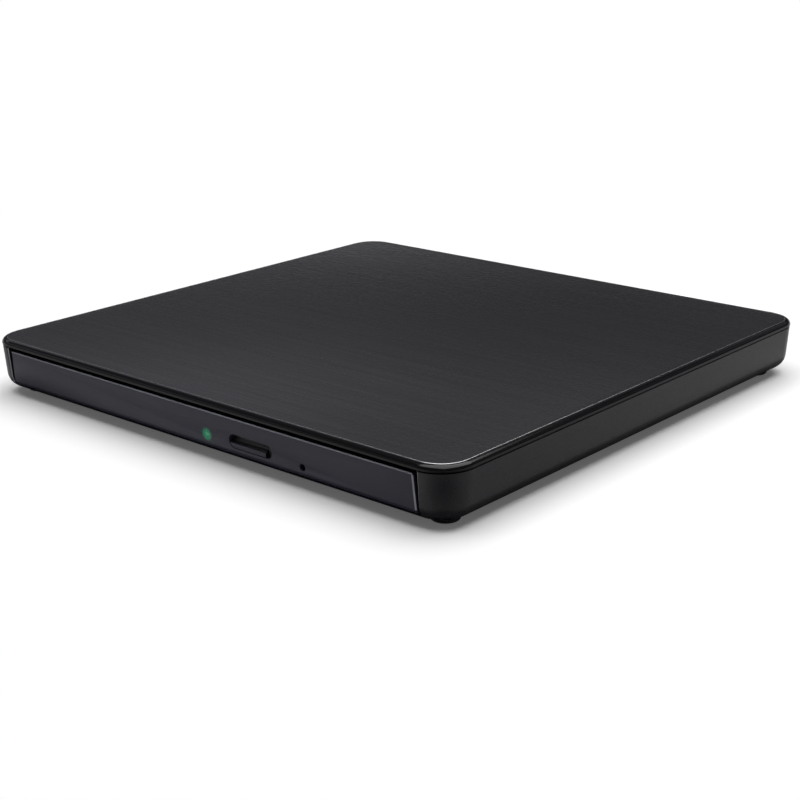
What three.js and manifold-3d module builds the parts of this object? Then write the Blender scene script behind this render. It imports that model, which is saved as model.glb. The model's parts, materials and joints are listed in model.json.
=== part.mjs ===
// A slim portable DVD drive with a tray, in millimetres.
// X points right as seen from the front, Y points back and Z points up.
// The origin is on the ground under the centre.
import * as THREE from "three";
import { mergeVertices } from "three/addons/utils/BufferGeometryUtils.js";
import Module from "manifold-3d";

const wasm = await Module();
wasm.setup();

// Fits shared by all pieces
const clearance = 0.3;
const snugGap = 0.2;
const overrun = 1;
const weld = 0.0001;
const roundSteps = 28;
const fineSteps = 12;
const cornerSteps = 6;
const bendSteps = 4;
const quarterTurn = Math.PI / 2;
const axisX = new THREE.Vector3(1, 0, 0);
const axisY = new THREE.Vector3(0, 1, 0);
const axisZ = new THREE.Vector3(0, 0, 1);

// The disc and the tray that carries it
const discRadius = 60;
const discEase = 0.5;
const tray = {
  rim: 1.6,
  front: 1.6,
  rear: 2.8,
  floor: 1,
  recessDepth: 2,
  wall: 1.1,
  tubDepth: 88.5,
  ledge: 1.2,
  cornerRadius: 3,
  fingerRadius: 8,
  landing: 3.5,
  landingStep: 0.3,
  windowLeft: 2,
  windowRight: 37,
  windowEdge: 0.4,
};
const recessRadius = discRadius + discEase;
const trayHalf = recessRadius + tray.rim;

// Pressed steel chassis
const sheet = 0.4;
const chassis = {
  rearBay: 4.8,
  rearRoom: 2.61,
  frontSetback: 4.1,
  bend: 0.45,
  ventWidth: 3,
  ventLength: 26,
  ventPitch: 9,
  ventSpan: 23,
  ventX: 22,
  ventY: -20,
  flangeDrop: 3.4,
};
const chassisInner = trayHalf + clearance;
const chassisHalf = chassisInner + sheet;
const flangeOuter = chassisHalf + sheet;

// Plastic case
const wall = 1.3;
const floorThickness = 0.9;
const sideBay = 6.66;
const shell = {
  setback: 0.12,
  draftRun: 0.72,
  bottomRadius: 3.7,
  cornerRadius: 7.9,
  groove: 0.3,
  grooveDepth: 0.7,
  bandHeight: 0.15,
  bandShoulder: 0.1,
  plateInset: 1.4,
  lipThickness: 0.8,
  lipDepth: 1.1,
  seat: 0.6,
};
const halfWidth = flangeOuter + sideBay + wall + shell.draftRun + shell.setback;
const bezelThickness = 2.03;
const frontReach = shell.setback + bezelThickness + tray.front + recessRadius;
const rearReach =
  recessRadius +
  tray.rear +
  chassis.rearBay +
  sheet +
  chassis.rearRoom +
  wall +
  shell.draftRun +
  shell.setback;
const halfDepth = (frontReach + rearReach) / 2;
const spindleY = frontReach - halfDepth;

// Heights, from the ground up
const standoff = 1.7;
const flexSpace = 0.4;
const shieldSheet = 0.3;
const unitSpace = 4.8;
const discSpace = 0.7;
const coverGap = 0.3;
const coverThickness = 1.1;
const caseFloorTop = standoff + floorThickness;
const chassisTop = caseFloorTop + sheet;
const shieldBottom = chassisTop + flexSpace;
const shieldTop = shieldBottom + shieldSheet;
const deckBottom = shieldTop + unitSpace;
const recessFloor = deckBottom + tray.floor;
const deckTop = recessFloor + tray.recessDepth;
const lidBottom = deckTop + discSpace;
const lidTop = lidBottom + sheet;
const plateBottom = lidTop + coverGap;
const plateTop = plateBottom + coverThickness;
const wallTop = plateBottom - shell.seat;

// Places along the drive
const bezelBack = -halfDepth + shell.setback + bezelThickness;
const trayRear = spindleY + recessRadius + tray.rear;
const tubRear = bezelBack + tray.tubDepth;
const chassisFront = bezelBack + chassis.frontSetback;
const chassisRear = trayRear + chassis.rearBay;
const chassisBack = chassisRear + sheet;

// Feet and the screws they hide
const foot = { radius: 3.1, inward: 1.2, pocket: 0.5, ease: 0.15, edge: 0.7 };
const screw = { headRadius: 1.4, headHeight: 0.8, radius: 0.8, length: 8.4, slot: 0.5, slotDepth: 0.35 };
const boss = { radius: 2.2, gap: 0.2, split: 7, fromCorner: 8.65, biteEase: 0.2 };
const bossX = flangeOuter + boss.gap + boss.radius;
const bossY = halfDepth - boss.fromCorner;
const footX = bossX - foot.inward;

// Front bezel, its button, its lens and its emergency hole
const bezel = {
  rise: 0.15,
  sideTaper: 0.5,
  sideGap: 1.1,
  halfWidth: 63.4,
  cornerRadius: 0.5,
  topEdge: 0.3,
  bevelRise: 1,
  bevelRun: 0.65,
  frontLip: 1.2,
};
const bezelBottom = standoff + bezel.frontLip + clearance;
const bezelTop = deckTop + bezel.rise;
const button = {
  x: 18.7,
  z: 6.5,
  halfLength: 6.25,
  halfHeight: 1.45,
  gap: 0.15,
  sink: 0.12,
  travel: 0.8,
  flange: 0.35,
  flangeThickness: 0.6,
  stemHalf: 1.2,
  stemReach: 0.4,
  switchGap: 0.2,
  dishRadius: 1.9,
  dishDepth: 0.8,
  dishRise: 0.75,
};
const lens = { x: 5.4, z: 6.2, radius: 0.75, flange: 0.5, proud: 0.05 };
const pinhole = { x: 33.8, z: 5.5, radius: 0.8 };

// Sliding rails and the guides they run in
const guide = { width: 2.9, back: 0.7, rib: 0.6, frontSetback: 0.5, rearSetback: 3.6 };
const guideInner = chassisInner - guide.width;
const guideTop = deckBottom - clearance;
const tubHalf = guideInner - snugGap - clearance;
const rail = { length: 110, sheet: 0.4, rearSetback: 2.4 };
const railInner = guideInner + clearance;
const railOuter = chassisInner - guide.back - clearance;
const railBottom = chassisTop + guide.rib + clearance;
const railTop = guideTop - guide.rib - clearance;

// Drive unit, turned so that its sled has the longest way to go
const unitTurn = THREE.MathUtils.degToRad(225);
const plate = {
  lift: 0.6,
  sheet: 0.4,
  back: 15.5,
  front: 64,
  half: 24,
  noseHalf: 14,
  noseLength: 14,
  corner: 6,
  bend: 1.5,
  slotHalf: 9,
  slotStart: 18,
  slotEnd: 54,
};
const plateFloor = shieldTop + plate.lift;
const plateFace = plateFloor + plate.sheet;
const motor = { radius: 13.5, height: 3.8, shoulder: 1.2, step: 0.9, bore: 1.5, boreDepth: 3 };
const turntable = {
  radius: 13,
  lift: 0.6,
  thickness: 0.5,
  padWidth: 3,
  padThickness: 0.35,
  padSeat: 0.2,
  hubRadius: 7.35,
  hubHeight: 1.9,
  hubChamfer: 0.7,
  shaftLength: 2.8,
};
const platformBottom = plateFace + motor.height + turntable.lift;
const platformTop = platformBottom + turntable.thickness;
const jaw = {
  count: 3,
  half: 1.3,
  length: 2.6,
  height: 0.9,
  lift: 0.35,
  proud: 0.35,
  travel: 0.6,
  nose: 0.5,
};
const rod = {
  radius: 1,
  side: 15,
  start: 13.6,
  end: 59.2,
  rise: 1.8,
  holder: 1.4,
  holderHalf: 2.2,
  holderRise: 3.3,
};
const rodZ = plateFace + rod.rise;
const sled = {
  start: 15.2,
  wide: 8.8,
  length: 18,
  half: 16.9,
  noseHalf: 10.5,
  lift: 0.5,
  height: 3.1,
  armStart: 0.2,
  armWidth: 2,
  armReach: 2,
  bend: 1,
};
const holder = { u: 25, halfU: 4.2, halfV: 5.4, lift: 2.2, height: 1.5, focus: 0.35, corner: 1 };
const objective = { radius: 1.6, rise: 0.35, drop: 0.9 };
const leadScrew = { side: 20, radius: 1.2, end: 52.3, bossStart: 50.7, bossLength: 1.8, bossHalf: 1.9 };
const stepper = { halfWidth: 3.5, halfHeight: 1.75, length: 13, end: 13.4, flange: 0.8, flangeHalf: 2.6 };
const damper = {
  radius: 3,
  neck: 2,
  flange: 0.3,
  topFlange: 0.4,
  bore: 1,
  hubSideU: -8,
  farU: 46,
  hubSideInset: 6,
  farInset: 3.5,
};
const damperPlaces = [
  [damper.hubSideU, plate.half - damper.hubSideInset],
  [damper.hubSideU, damper.hubSideInset - plate.half],
  [damper.farU, plate.half - damper.farInset],
];
const deck = { sheet: 0.4, step: 0.2, hole: 14, slotHalf: 8.5, slotEnd: 61.5, slotBend: 3 };
const deckFloor = recessFloor - deck.step - deck.sheet;

// Boards and what is on them
const board = {
  thickness: 1,
  sideGap: 3,
  front: 30,
  rearGap: 2.4,
  standRadius: 1.6,
  standEdge: 5,
  stand: 1,
};
const boardHalf = guideInner - board.sideGap;
const boardBottom = chassisTop + board.stand;
const boardTop = boardBottom + board.thickness;
const boardRear = chassisRear - board.rearGap;
const controllerChip = { side: 14, height: 1.4, fromMiddle: -10, fromFront: 15 };
const driverChip = { side: 8.5, height: 1.1, fromMiddle: 14, fromFront: 14 };
const ribbon = { width: 22, thickness: 0.2, x: -34, length: 44, front: 3.4, entry: 0.8 };
const socket = { overhang: 1, depth: 4.2, height: 1.6 };
const usb = {
  x: 38,
  width: 7.7,
  height: 3.9,
  depth: 8.4,
  sheet: 0.35,
  chamfer: 1.2,
  setback: 0.35,
  tongueHalf: 1.9,
  tongueThickness: 0.9,
  tongueLength: 5.2,
  base: 1.8,
  mouthGap: 0.25,
  bend: 0.4,
};
const socketMouth = halfDepth - wallInset(boardTop + usb.height / 2) - usb.setback;
const trayBoard = { left: 0.5, right: 42, depth: 9, thickness: 0.6, lift: 0.5, frontGap: 0.6 };
const trayBoardTop = shieldTop + trayBoard.lift + trayBoard.thickness;
const tact = { half: 2.6, depth: 3, height: 3, capRadius: 0.8, capLength: 0.8 };
const lamp = { half: 0.8, depth: 1.4 };

// Lock and ejector at the back of the tray
const latch = {
  pivotX: 52,
  pivotBack: 6.5,
  pinRadius: 1,
  hubRadius: 2.4,
  reach: 12.5,
  armHalf: 1.1,
  hook: 2.6,
  hookDepth: 1.3,
  thickness: 1.2,
  lift: 1.5,
  pinDrop: 0.3,
  slotHalf: 4.2,
};
const latchY = tubRear - latch.pivotBack;
const latchFloor = shieldTop + latch.lift;
const post = { radius: 1, height: 4.2, aside: 5.2, behind: 2.1 };
const postX = latch.pivotX - post.aside;
const postY = tubRear + post.behind;
const coil = {
  halfX: 5,
  halfY: 6.5,
  height: 3.6,
  x: 38,
  back: 12,
  core: 1.1,
  coreLength: 3,
  cheek: 0.8,
  waist: 1,
};
const ejector = {
  x: 51.6,
  drop: 1.75,
  radius: 0.9,
  collarRadius: 1.45,
  collar: 1.2,
  length: 19,
  wire: 0.22,
  coilRadius: 1.3,
  turns: 8,
  rib: 1,
  ribHalf: 2.2,
  ribDrop: 3.3,
  rearRib: 2,
  span: 11,
  stepsPerTurn: 8,
  wireSides: 5,
};
const ejectorZ = deckBottom - ejector.drop;
const ejectorRearRib = trayRear - ejector.rearRib;

// Materials with the colours of the pieces
function finish(color, roughness, metalness) {
  return () => new THREE.MeshStandardMaterial({ color, roughness, metalness });
}
const brushedBlack = finish(0x353437, 0.42, 0.35);
const shellBlack = finish(0x1c1c1e, 0.45, 0);
const bezelBlack = finish(0x35373b, 0.5, 0);
const buttonBlack = finish(0x222326, 0.4, 0);
const lampGreen = finish(0x32a064, 0.3, 0);
const rubberBlack = finish(0x151515, 0.9, 0);
const steel = finish(0xa9abad, 0.4, 0.9);
const darkSteel = finish(0x77797c, 0.45, 0.9);
const trayBlack = finish(0x1f1f21, 0.55, 0);
const boardGreen = finish(0x1d4a30, 0.6, 0);
const chipBlack = finish(0x17181a, 0.6, 0);
const nickel = finish(0xb9b8b2, 0.3, 1);
const polymer = finish(0xd8d4c6, 0.5, 0);
const ribbonTone = finish(0xb9a68a, 0.5, 0);
const clearGlass = finish(0x9fb6d8, 0.05, 0);
const pickupMetal = finish(0x8d8f93, 0.5, 0.7);
const copper = finish(0xa5562f, 0.45, 0.6);

// Joining and cutting
function solidOf(geometry) {
  const bare = geometry.index ? geometry.toNonIndexed() : geometry.clone();
  bare.deleteAttribute("normal");
  bare.deleteAttribute("uv");
  const merged = mergeVertices(bare, weld);
  const vertProperties = merged.attributes.position.array;
  const triVerts = new Uint32Array(merged.index.array);
  return new wasm.Manifold(new wasm.Mesh({ numProp: 3, vertProperties, triVerts }));
}

function join(...solids) {
  return solids.reduce((whole, next) => whole.add(next));
}

function cut(whole, ...tools) {
  return tools.reduce((rest, tool) => rest.subtract(tool), whole);
}

function named(name, solid, material) {
  const { vertProperties, triVerts } = solid.getMesh();
  const geometry = new THREE.BufferGeometry();
  geometry.setAttribute("position", new THREE.BufferAttribute(vertProperties, 3));
  geometry.setIndex(new THREE.BufferAttribute(triVerts, 1));
  const faceted = geometry.toNonIndexed();
  faceted.computeVertexNormals();
  const mesh = new THREE.Mesh(faceted, material());
  mesh.name = name;
  return mesh;
}

// Plain forms, each between two corners or two heights
function box(x0, x1, y0, y1, z0, z1) {
  const geometry = new THREE.BoxGeometry(x1 - x0, y1 - y0, z1 - z0);
  geometry.translate((x0 + x1) / 2, (y0 + y1) / 2, (z0 + z1) / 2);
  return solidOf(geometry);
}

function prism(shape, z0, z1, steps = cornerSteps, seat = (geometry) => geometry) {
  const options = { depth: z1 - z0, bevelEnabled: false, curveSegments: steps };
  const geometry = new THREE.ExtrudeGeometry(shape, options);
  geometry.translate(0, 0, z0);
  return solidOf(seat(geometry));
}

// A shape drawn in X and Z, run from y0 to y1
function alongY(shape, y0, y1, steps = cornerSteps) {
  const options = { depth: y1 - y0, bevelEnabled: false, curveSegments: steps };
  const geometry = new THREE.ExtrudeGeometry(shape, options);
  geometry.rotateX(quarterTurn);
  geometry.translate(0, y1, 0);
  return solidOf(geometry);
}

// A shape drawn in Y and Z, run from x0 to x1
function alongX(shape, x0, x1) {
  const options = { depth: x1 - x0, bevelEnabled: false, curveSegments: bendSteps };
  const geometry = new THREE.ExtrudeGeometry(shape, options);
  const toX = new THREE.Matrix4().makeBasis(axisY, axisZ, axisX);
  geometry.applyMatrix4(toX);
  geometry.translate(x0, 0, 0);
  return solidOf(geometry);
}

function drum(radius, z0, z1, x = 0, y = 0, steps = fineSteps) {
  const geometry = new THREE.CylinderGeometry(radius, radius, z1 - z0, steps);
  geometry.rotateX(quarterTurn);
  geometry.translate(x, y, (z0 + z1) / 2);
  return solidOf(geometry);
}

function drumAlongY(radius, y0, y1, x, z, steps = fineSteps) {
  const geometry = new THREE.CylinderGeometry(radius, radius, y1 - y0, steps);
  geometry.translate(x, (y0 + y1) / 2, z);
  return solidOf(geometry);
}

function drumAlongX(radius, x0, x1, y, z, steps = fineSteps) {
  const geometry = new THREE.CylinderGeometry(radius, radius, x1 - x0, steps);
  geometry.rotateZ(quarterTurn);
  geometry.translate((x0 + x1) / 2, y, z);
  return solidOf(geometry);
}

// A profile of [radius, height] points, bottom first, turned about the vertical
function turned(profile, steps = roundSteps) {
  const points = profile.map(([radius, height]) => new THREE.Vector2(radius, height));
  const geometry = new THREE.LatheGeometry(points, steps);
  geometry.rotateX(quarterTurn);
  return solidOf(geometry);
}

// Outlines
function roundedRect(x0, x1, y0, y1, radius) {
  const shape = new THREE.Shape();
  shape.moveTo(x0 + radius, y0);
  shape.lineTo(x1 - radius, y0);
  shape.absarc(x1 - radius, y0 + radius, radius, -quarterTurn, 0);
  shape.lineTo(x1, y1 - radius);
  shape.absarc(x1 - radius, y1 - radius, radius, 0, quarterTurn);
  shape.lineTo(x0 + radius, y1);
  shape.absarc(x0 + radius, y1 - radius, radius, quarterTurn, 2 * quarterTurn);
  shape.lineTo(x0, y0 + radius);
  shape.absarc(x0 + radius, y0 + radius, radius, 2 * quarterTurn, 3 * quarterTurn);
  return shape;
}

function pill(x, y, halfLong, halfShort, along = "x") {
  const run = halfLong - halfShort;
  const shape = new THREE.Shape();
  if (along === "x") {
    shape.absarc(x + run, y, halfShort, -quarterTurn, quarterTurn);
    shape.absarc(x - run, y, halfShort, quarterTurn, 3 * quarterTurn);
  } else {
    shape.absarc(x, y + run, halfShort, 0, 2 * quarterTurn);
    shape.absarc(x, y - run, halfShort, 2 * quarterTurn, 4 * quarterTurn);
  }
  return shape;
}

// A closed outline through points, each corner softened by a curve that starts a bend away from it
function softened(points, bend) {
  const shape = new THREE.Shape();
  points.forEach((point, i) => {
    const corner = new THREE.Vector2(...point);
    const before = new THREE.Vector2(...points[(i + points.length - 1) % points.length]);
    const after = new THREE.Vector2(...points[(i + 1) % points.length]);
    const enter = before.sub(corner).setLength(bend).add(corner);
    const leave = after.sub(corner).setLength(bend).add(corner);
    if (i === 0) shape.moveTo(enter.x, enter.y);
    else shape.lineTo(enter.x, enter.y);
    shape.quadraticCurveTo(corner.x, corner.y, leave.x, leave.y);
  });
  return shape;
}

// A block whose level outlines are rounded rectangles, one for each [inset, height], bottom first
function loft(rings, halfX = halfWidth, halfY = halfDepth, radius = shell.cornerRadius) {
  const positions = [];
  const corners = [
    [1, -1],
    [1, 1],
    [-1, 1],
    [-1, -1],
  ];
  for (const [inset, z] of rings) {
    const bend = radius - inset;
    corners.forEach(([sx, sy], corner) => {
      for (let step = 0; step <= cornerSteps; step += 1) {
        const angle = quarterTurn * (corner - 1 + step / cornerSteps);
        const x = sx * (halfX - radius) + bend * Math.cos(angle);
        const y = sy * (halfY - radius) + bend * Math.sin(angle);
        positions.push(x, y, z);
      }
    });
  }
  const count = corners.length * (cornerSteps + 1);
  const index = [];
  for (let ring = 0; ring + 1 < rings.length; ring += 1) {
    for (let i = 0; i < count; i += 1) {
      const next = (i + 1) % count;
      const low = ring * count;
      const high = low + count;
      index.push(low + i, low + next, high + next);
      index.push(low + i, high + next, high + i);
    }
  }
  const last = (rings.length - 1) * count;
  for (let i = 1; i + 1 < count; i += 1) {
    index.push(0, i + 1, i);
    index.push(last, last + i, last + i + 1);
  }
  const geometry = new THREE.BufferGeometry();
  geometry.setAttribute("position", new THREE.Float32BufferAttribute(positions, 3));
  geometry.setIndex(index);
  return solidOf(geometry);
}

// How far the case's wall stands in from the rim at a height
function wallInset(z) {
  const share = (wallTop - z) / (wallTop - standoff);
  return shell.setback + shell.draftRun * share;
}

const sides = [
  { side: "left", sx: -1 },
  { side: "right", sx: 1 },
];
const ends = [
  { end: "front", sy: -1 },
  { end: "rear", sy: 1 },
];
const corners = ends.flatMap((end) => sides.map((side) => ({ ...end, ...side })));

// A box given by its distance from the middle plane, on the left or the right side
function sideBox(sx, inner, outer, y0, y1, z0, z1) {
  return box(Math.min(sx * inner, sx * outer), Math.max(sx * inner, sx * outer), y0, y1, z0, z1);
}

// The bezel's outline, a little wider at the bottom
function bezelOutline() {
  const narrow = bezel.halfWidth;
  const wide = narrow + bezel.sideTaper;
  const points = [
    [-wide, bezelBottom],
    [wide, bezelBottom],
    [narrow, bezelTop],
    [-narrow, bezelTop],
  ];
  return softened(points, bezel.cornerRadius);
}

// Case: a tub with leaning walls and a round bottom edge
function bottomCase() {
  const radius = shell.bottomRadius;
  const bendZ = standoff + radius;
  const bendInset = wallInset(bendZ) + radius;
  const outerRings = [];
  for (let step = 0; step <= cornerSteps; step += 1) {
    const angle = (quarterTurn * step) / cornerSteps;
    outerRings.push([bendInset - radius * Math.sin(angle), bendZ - radius * Math.cos(angle)]);
  }
  outerRings.push([wallInset(wallTop), wallTop]);
  const innerBend = radius - wall;
  const hollow = loft([
    [wallInset(caseFloorTop) + wall + innerBend, caseFloorTop],
    [wallInset(caseFloorTop + innerBend) + wall, caseFloorTop + innerBend],
    [wallInset(wallTop) + wall, wallTop],
    [wallInset(wallTop) + wall, wallTop + overrun],
  ]);
  const bay = bezel.halfWidth + bezel.sideGap;
  const opening = roundedRect(
    -bay,
    bay,
    standoff + bezel.frontLip,
    wallTop + bezel.cornerRadius + overrun,
    bezel.cornerRadius,
  );
  const frontOpening = join(
    alongY(opening, -halfDepth - overrun, bezelBack + clearance, bendSteps),
    box(-chassisInner, chassisInner, bezelBack, chassisFront, caseFloorTop, wallTop + overrun),
  );
  const returnFront = -halfDepth + shell.draftRun + wall;
  const returns = sides.map(({ sx }) =>
    sideBox(sx, bay, bay + wall, returnFront, chassisFront, standoff + wall, wallTop),
  );
  let tub = loft(outerRings).subtract(hollow);
  tub = join(tub, ...returns.map((rib) => rib.intersect(loft(outerRings))));
  tub = tub.subtract(frontOpening);
  const socketGap = usb.mouthGap;
  const mouth = roundedRect(
    usb.x - usb.width / 2 - socketGap,
    usb.x + usb.width / 2 + socketGap,
    boardTop - socketGap,
    boardTop + usb.height + socketGap,
    usb.bend,
  );
  tub = tub.subtract(alongY(mouth, chassisBack, halfDepth + overrun));
  for (const { sx, sy } of corners) {
    const x = sx * bossX;
    const y = sy * bossY;
    const pocketTop = standoff + foot.pocket;
    const headTop = pocketTop + screw.headHeight + snugGap;
    tub = tub.add(drum(boss.radius, standoff + floorThickness / 2, boss.split, x, y));
    tub = cut(
      tub,
      drum(foot.radius + foot.ease, standoff - overrun, pocketTop, sx * footX, y, roundSteps),
      drum(screw.headRadius + clearance, pocketTop - foot.pocket, headTop, x, y),
      drum(screw.radius + clearance, headTop - overrun, boss.split + overrun, x, y),
    );
  }
  return named("bottom_case", tub, shellBlack);
}

// Top cover: a plate with a raised round band, a seat ring and an inner lip
function topCover() {
  const bandBottom = wallTop + shell.groove;
  const bandTop = bandBottom + shell.bandHeight;
  const rings = [
    [shell.grooveDepth, wallTop],
    [shell.grooveDepth, bandBottom],
    [shell.bandShoulder, bandBottom],
    [0, bandBottom + shell.bandShoulder],
  ];
  for (let step = 0; step <= bendSteps; step += 1) {
    const angle = (quarterTurn * step) / bendSteps;
    const inset = shell.plateInset * (1 - Math.cos(angle));
    rings.push([inset, bandTop + (plateTop - bandTop) * Math.sin(angle)]);
  }
  const innerInset = wallInset(wallTop) + wall;
  let cover = loft(rings).subtract(
    loft([
      [innerInset, wallTop - overrun],
      [innerInset, plateBottom],
    ]),
  );
  const lipOuter = innerInset + clearance;
  const lipInner = lipOuter + shell.lipThickness;
  const lipRing = loft([
    [lipOuter, wallTop - shell.lipDepth],
    [lipOuter, plateBottom + coverThickness / 2],
  ]);
  const lipHollow = loft([
    [lipInner, wallTop - shell.lipDepth - overrun],
    [lipInner, plateBottom],
  ]);
  const bayBottom = wallTop - shell.lipDepth - overrun;
  const frontBay = box(-halfWidth, halfWidth, -halfDepth, chassisFront, bayBottom, plateBottom);
  cover = cover.add(cut(lipRing, lipHollow, frontBay));
  for (const { sx, sy } of corners) {
    const x = sx * bossX;
    const y = sy * bossY;
    const postBottom = boss.split + clearance;
    const pilotTop = standoff + foot.pocket + screw.headHeight + snugGap + screw.length + clearance;
    cover = cover.add(drum(boss.radius, postBottom, plateBottom + coverThickness / 2, x, y));
    cover = cover.subtract(drum(screw.radius + boss.biteEase, postBottom - overrun, pilotTop, x, y));
  }
  return named("top_cover", cover, brushedBlack);
}

function rubberFoot({ sx, sy, end, side }) {
  const profile = [[0, 0]];
  for (let step = 0; step <= bendSteps; step += 1) {
    const angle = (quarterTurn * step) / bendSteps;
    profile.push([foot.radius - foot.edge * (1 - Math.sin(angle)), foot.edge * (1 - Math.cos(angle))]);
  }
  profile.push([foot.radius, standoff + foot.pocket], [0, standoff + foot.pocket]);
  const mesh = named(`foot_${end}_${side}`, turned(profile), rubberBlack);
  mesh.position.set(sx * footX, sy * bossY, 0);
  return mesh;
}

function caseScrew({ sx, sy, end, side }) {
  const head = drum(screw.headRadius, 0, screw.headHeight);
  const tip = screw.headHeight + screw.length;
  const shank = drum(screw.radius, screw.headHeight / 2, tip, 0, 0, fineSteps / 2);
  const slots = [
    box(-screw.headRadius, screw.headRadius, -screw.slot / 2, screw.slot / 2, -overrun, screw.slotDepth),
    box(-screw.slot / 2, screw.slot / 2, -screw.headRadius, screw.headRadius, -overrun, screw.slotDepth),
  ];
  const mesh = named(`case_screw_${end}_${side}`, cut(join(head, shank), ...slots), steel);
  mesh.position.set(sx * bossX, sy * bossY, standoff + foot.pocket + snugGap);
  return mesh;
}

// Chassis: a pressed pan, open at the front, and the cover that closes it
function lowerChassis() {
  const round = chassis.bend;
  const above = lidBottom + round + overrun;
  const outer = roundedRect(-chassisHalf, chassisHalf, caseFloorTop, above, round);
  const inner = roundedRect(-chassisInner, chassisInner, chassisTop, above, round - sheet / 2);
  let pan = alongY(outer, chassisFront, chassisBack, bendSteps).subtract(
    alongY(inner, chassisFront - overrun, chassisRear, bendSteps),
  );
  pan = pan.subtract(box(-halfWidth, halfWidth, -halfDepth, halfDepth, lidBottom, above + overrun));
  const vents = Math.floor((2 * chassis.ventSpan) / chassis.ventPitch);
  for (let i = 0; i <= vents; i += 1) {
    const x = chassis.ventX + (i - vents / 2) * chassis.ventPitch;
    const slot = pill(x, chassis.ventY, chassis.ventLength / 2, chassis.ventWidth / 2, "y");
    pan = pan.subtract(prism(slot, caseFloorTop - overrun, chassisTop + overrun, bendSteps));
  }
  const stands = sides.flatMap(({ sx }) =>
    [board.front + board.standEdge, boardRear - board.standEdge].map((y) =>
      drum(board.standRadius, caseFloorTop + sheet / 2, boardBottom, sx * (boardHalf - board.standEdge), y),
    ),
  );
  const hookPost = drum(post.radius, caseFloorTop + sheet / 2, chassisTop + post.height, postX, postY);
  pan = join(pan, ...stands, hookPost);
  const half = usb.width / 2 + clearance;
  const mouth = box(
    usb.x - half,
    usb.x + half,
    chassisRear - overrun,
    chassisBack + overrun,
    boardTop - clearance,
    boardTop + usb.height + clearance,
  );
  return named("lower_chassis", pan.subtract(mouth), steel);
}

function chassisCover() {
  const top = box(-flangeOuter, flangeOuter, chassisFront, chassisBack, lidBottom, lidTop);
  const flanges = sides.map(({ sx }) =>
    sideBox(sx, chassisHalf, flangeOuter, chassisFront, chassisBack, lidTop - chassis.flangeDrop, lidTop),
  );
  return named("chassis_cover", join(top, ...flanges), steel);
}

// Guides in the chassis and the rails that slide in them
function trayGuide({ sx, side }) {
  const y0 = chassisFront + guide.frontSetback;
  const y1 = chassisRear - guide.rearSetback;
  const body = sideBox(sx, guideInner, chassisInner, y0, y1, chassisTop, guideTop);
  const slot = sideBox(
    sx,
    guideInner - overrun,
    chassisInner - guide.back,
    y0 - overrun,
    y1 + overrun,
    chassisTop + guide.rib,
    guideTop - guide.rib,
  );
  const bendRoom = sideBox(
    sx,
    chassisInner - clearance,
    chassisInner + overrun,
    y0 - overrun,
    y1 + overrun,
    chassisTop - overrun,
    chassisTop + clearance,
  );
  return named(`tray_guide_${side}`, cut(body, slot, bendRoom), polymer);
}

function slidingRail({ sx, side }) {
  const y1 = trayRear - rail.rearSetback;
  const y0 = y1 - rail.length;
  const body = sideBox(sx, railInner, railOuter, y0, y1, railBottom, railTop);
  const hollow = sideBox(
    sx,
    railInner - overrun,
    railOuter - rail.sheet,
    y0 - overrun,
    y1 + overrun,
    railBottom + rail.sheet,
    railTop - rail.sheet,
  );
  return named(`sliding_rail_${side}`, body.subtract(hollow), darkSteel);
}

// Outline of the drive unit in its own directions: X towards the disc's edge, Y across
function unitOutline(grow) {
  const half = plate.half + grow;
  const front = plate.front + grow;
  const back = -plate.back - grow;
  const points = [
    [back + plate.corner, -half],
    [front - plate.noseLength, -half],
    [front, -plate.noseHalf],
    [front, plate.noseHalf],
    [front - plate.noseLength, half],
    [back + plate.corner, half],
    [back, half - plate.corner],
    [back, plate.corner - half],
  ];
  return softened(points, plate.bend);
}

function intoUnit(geometry) {
  return geometry.rotateZ(unitTurn).translate(0, spindleY, 0);
}

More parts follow.
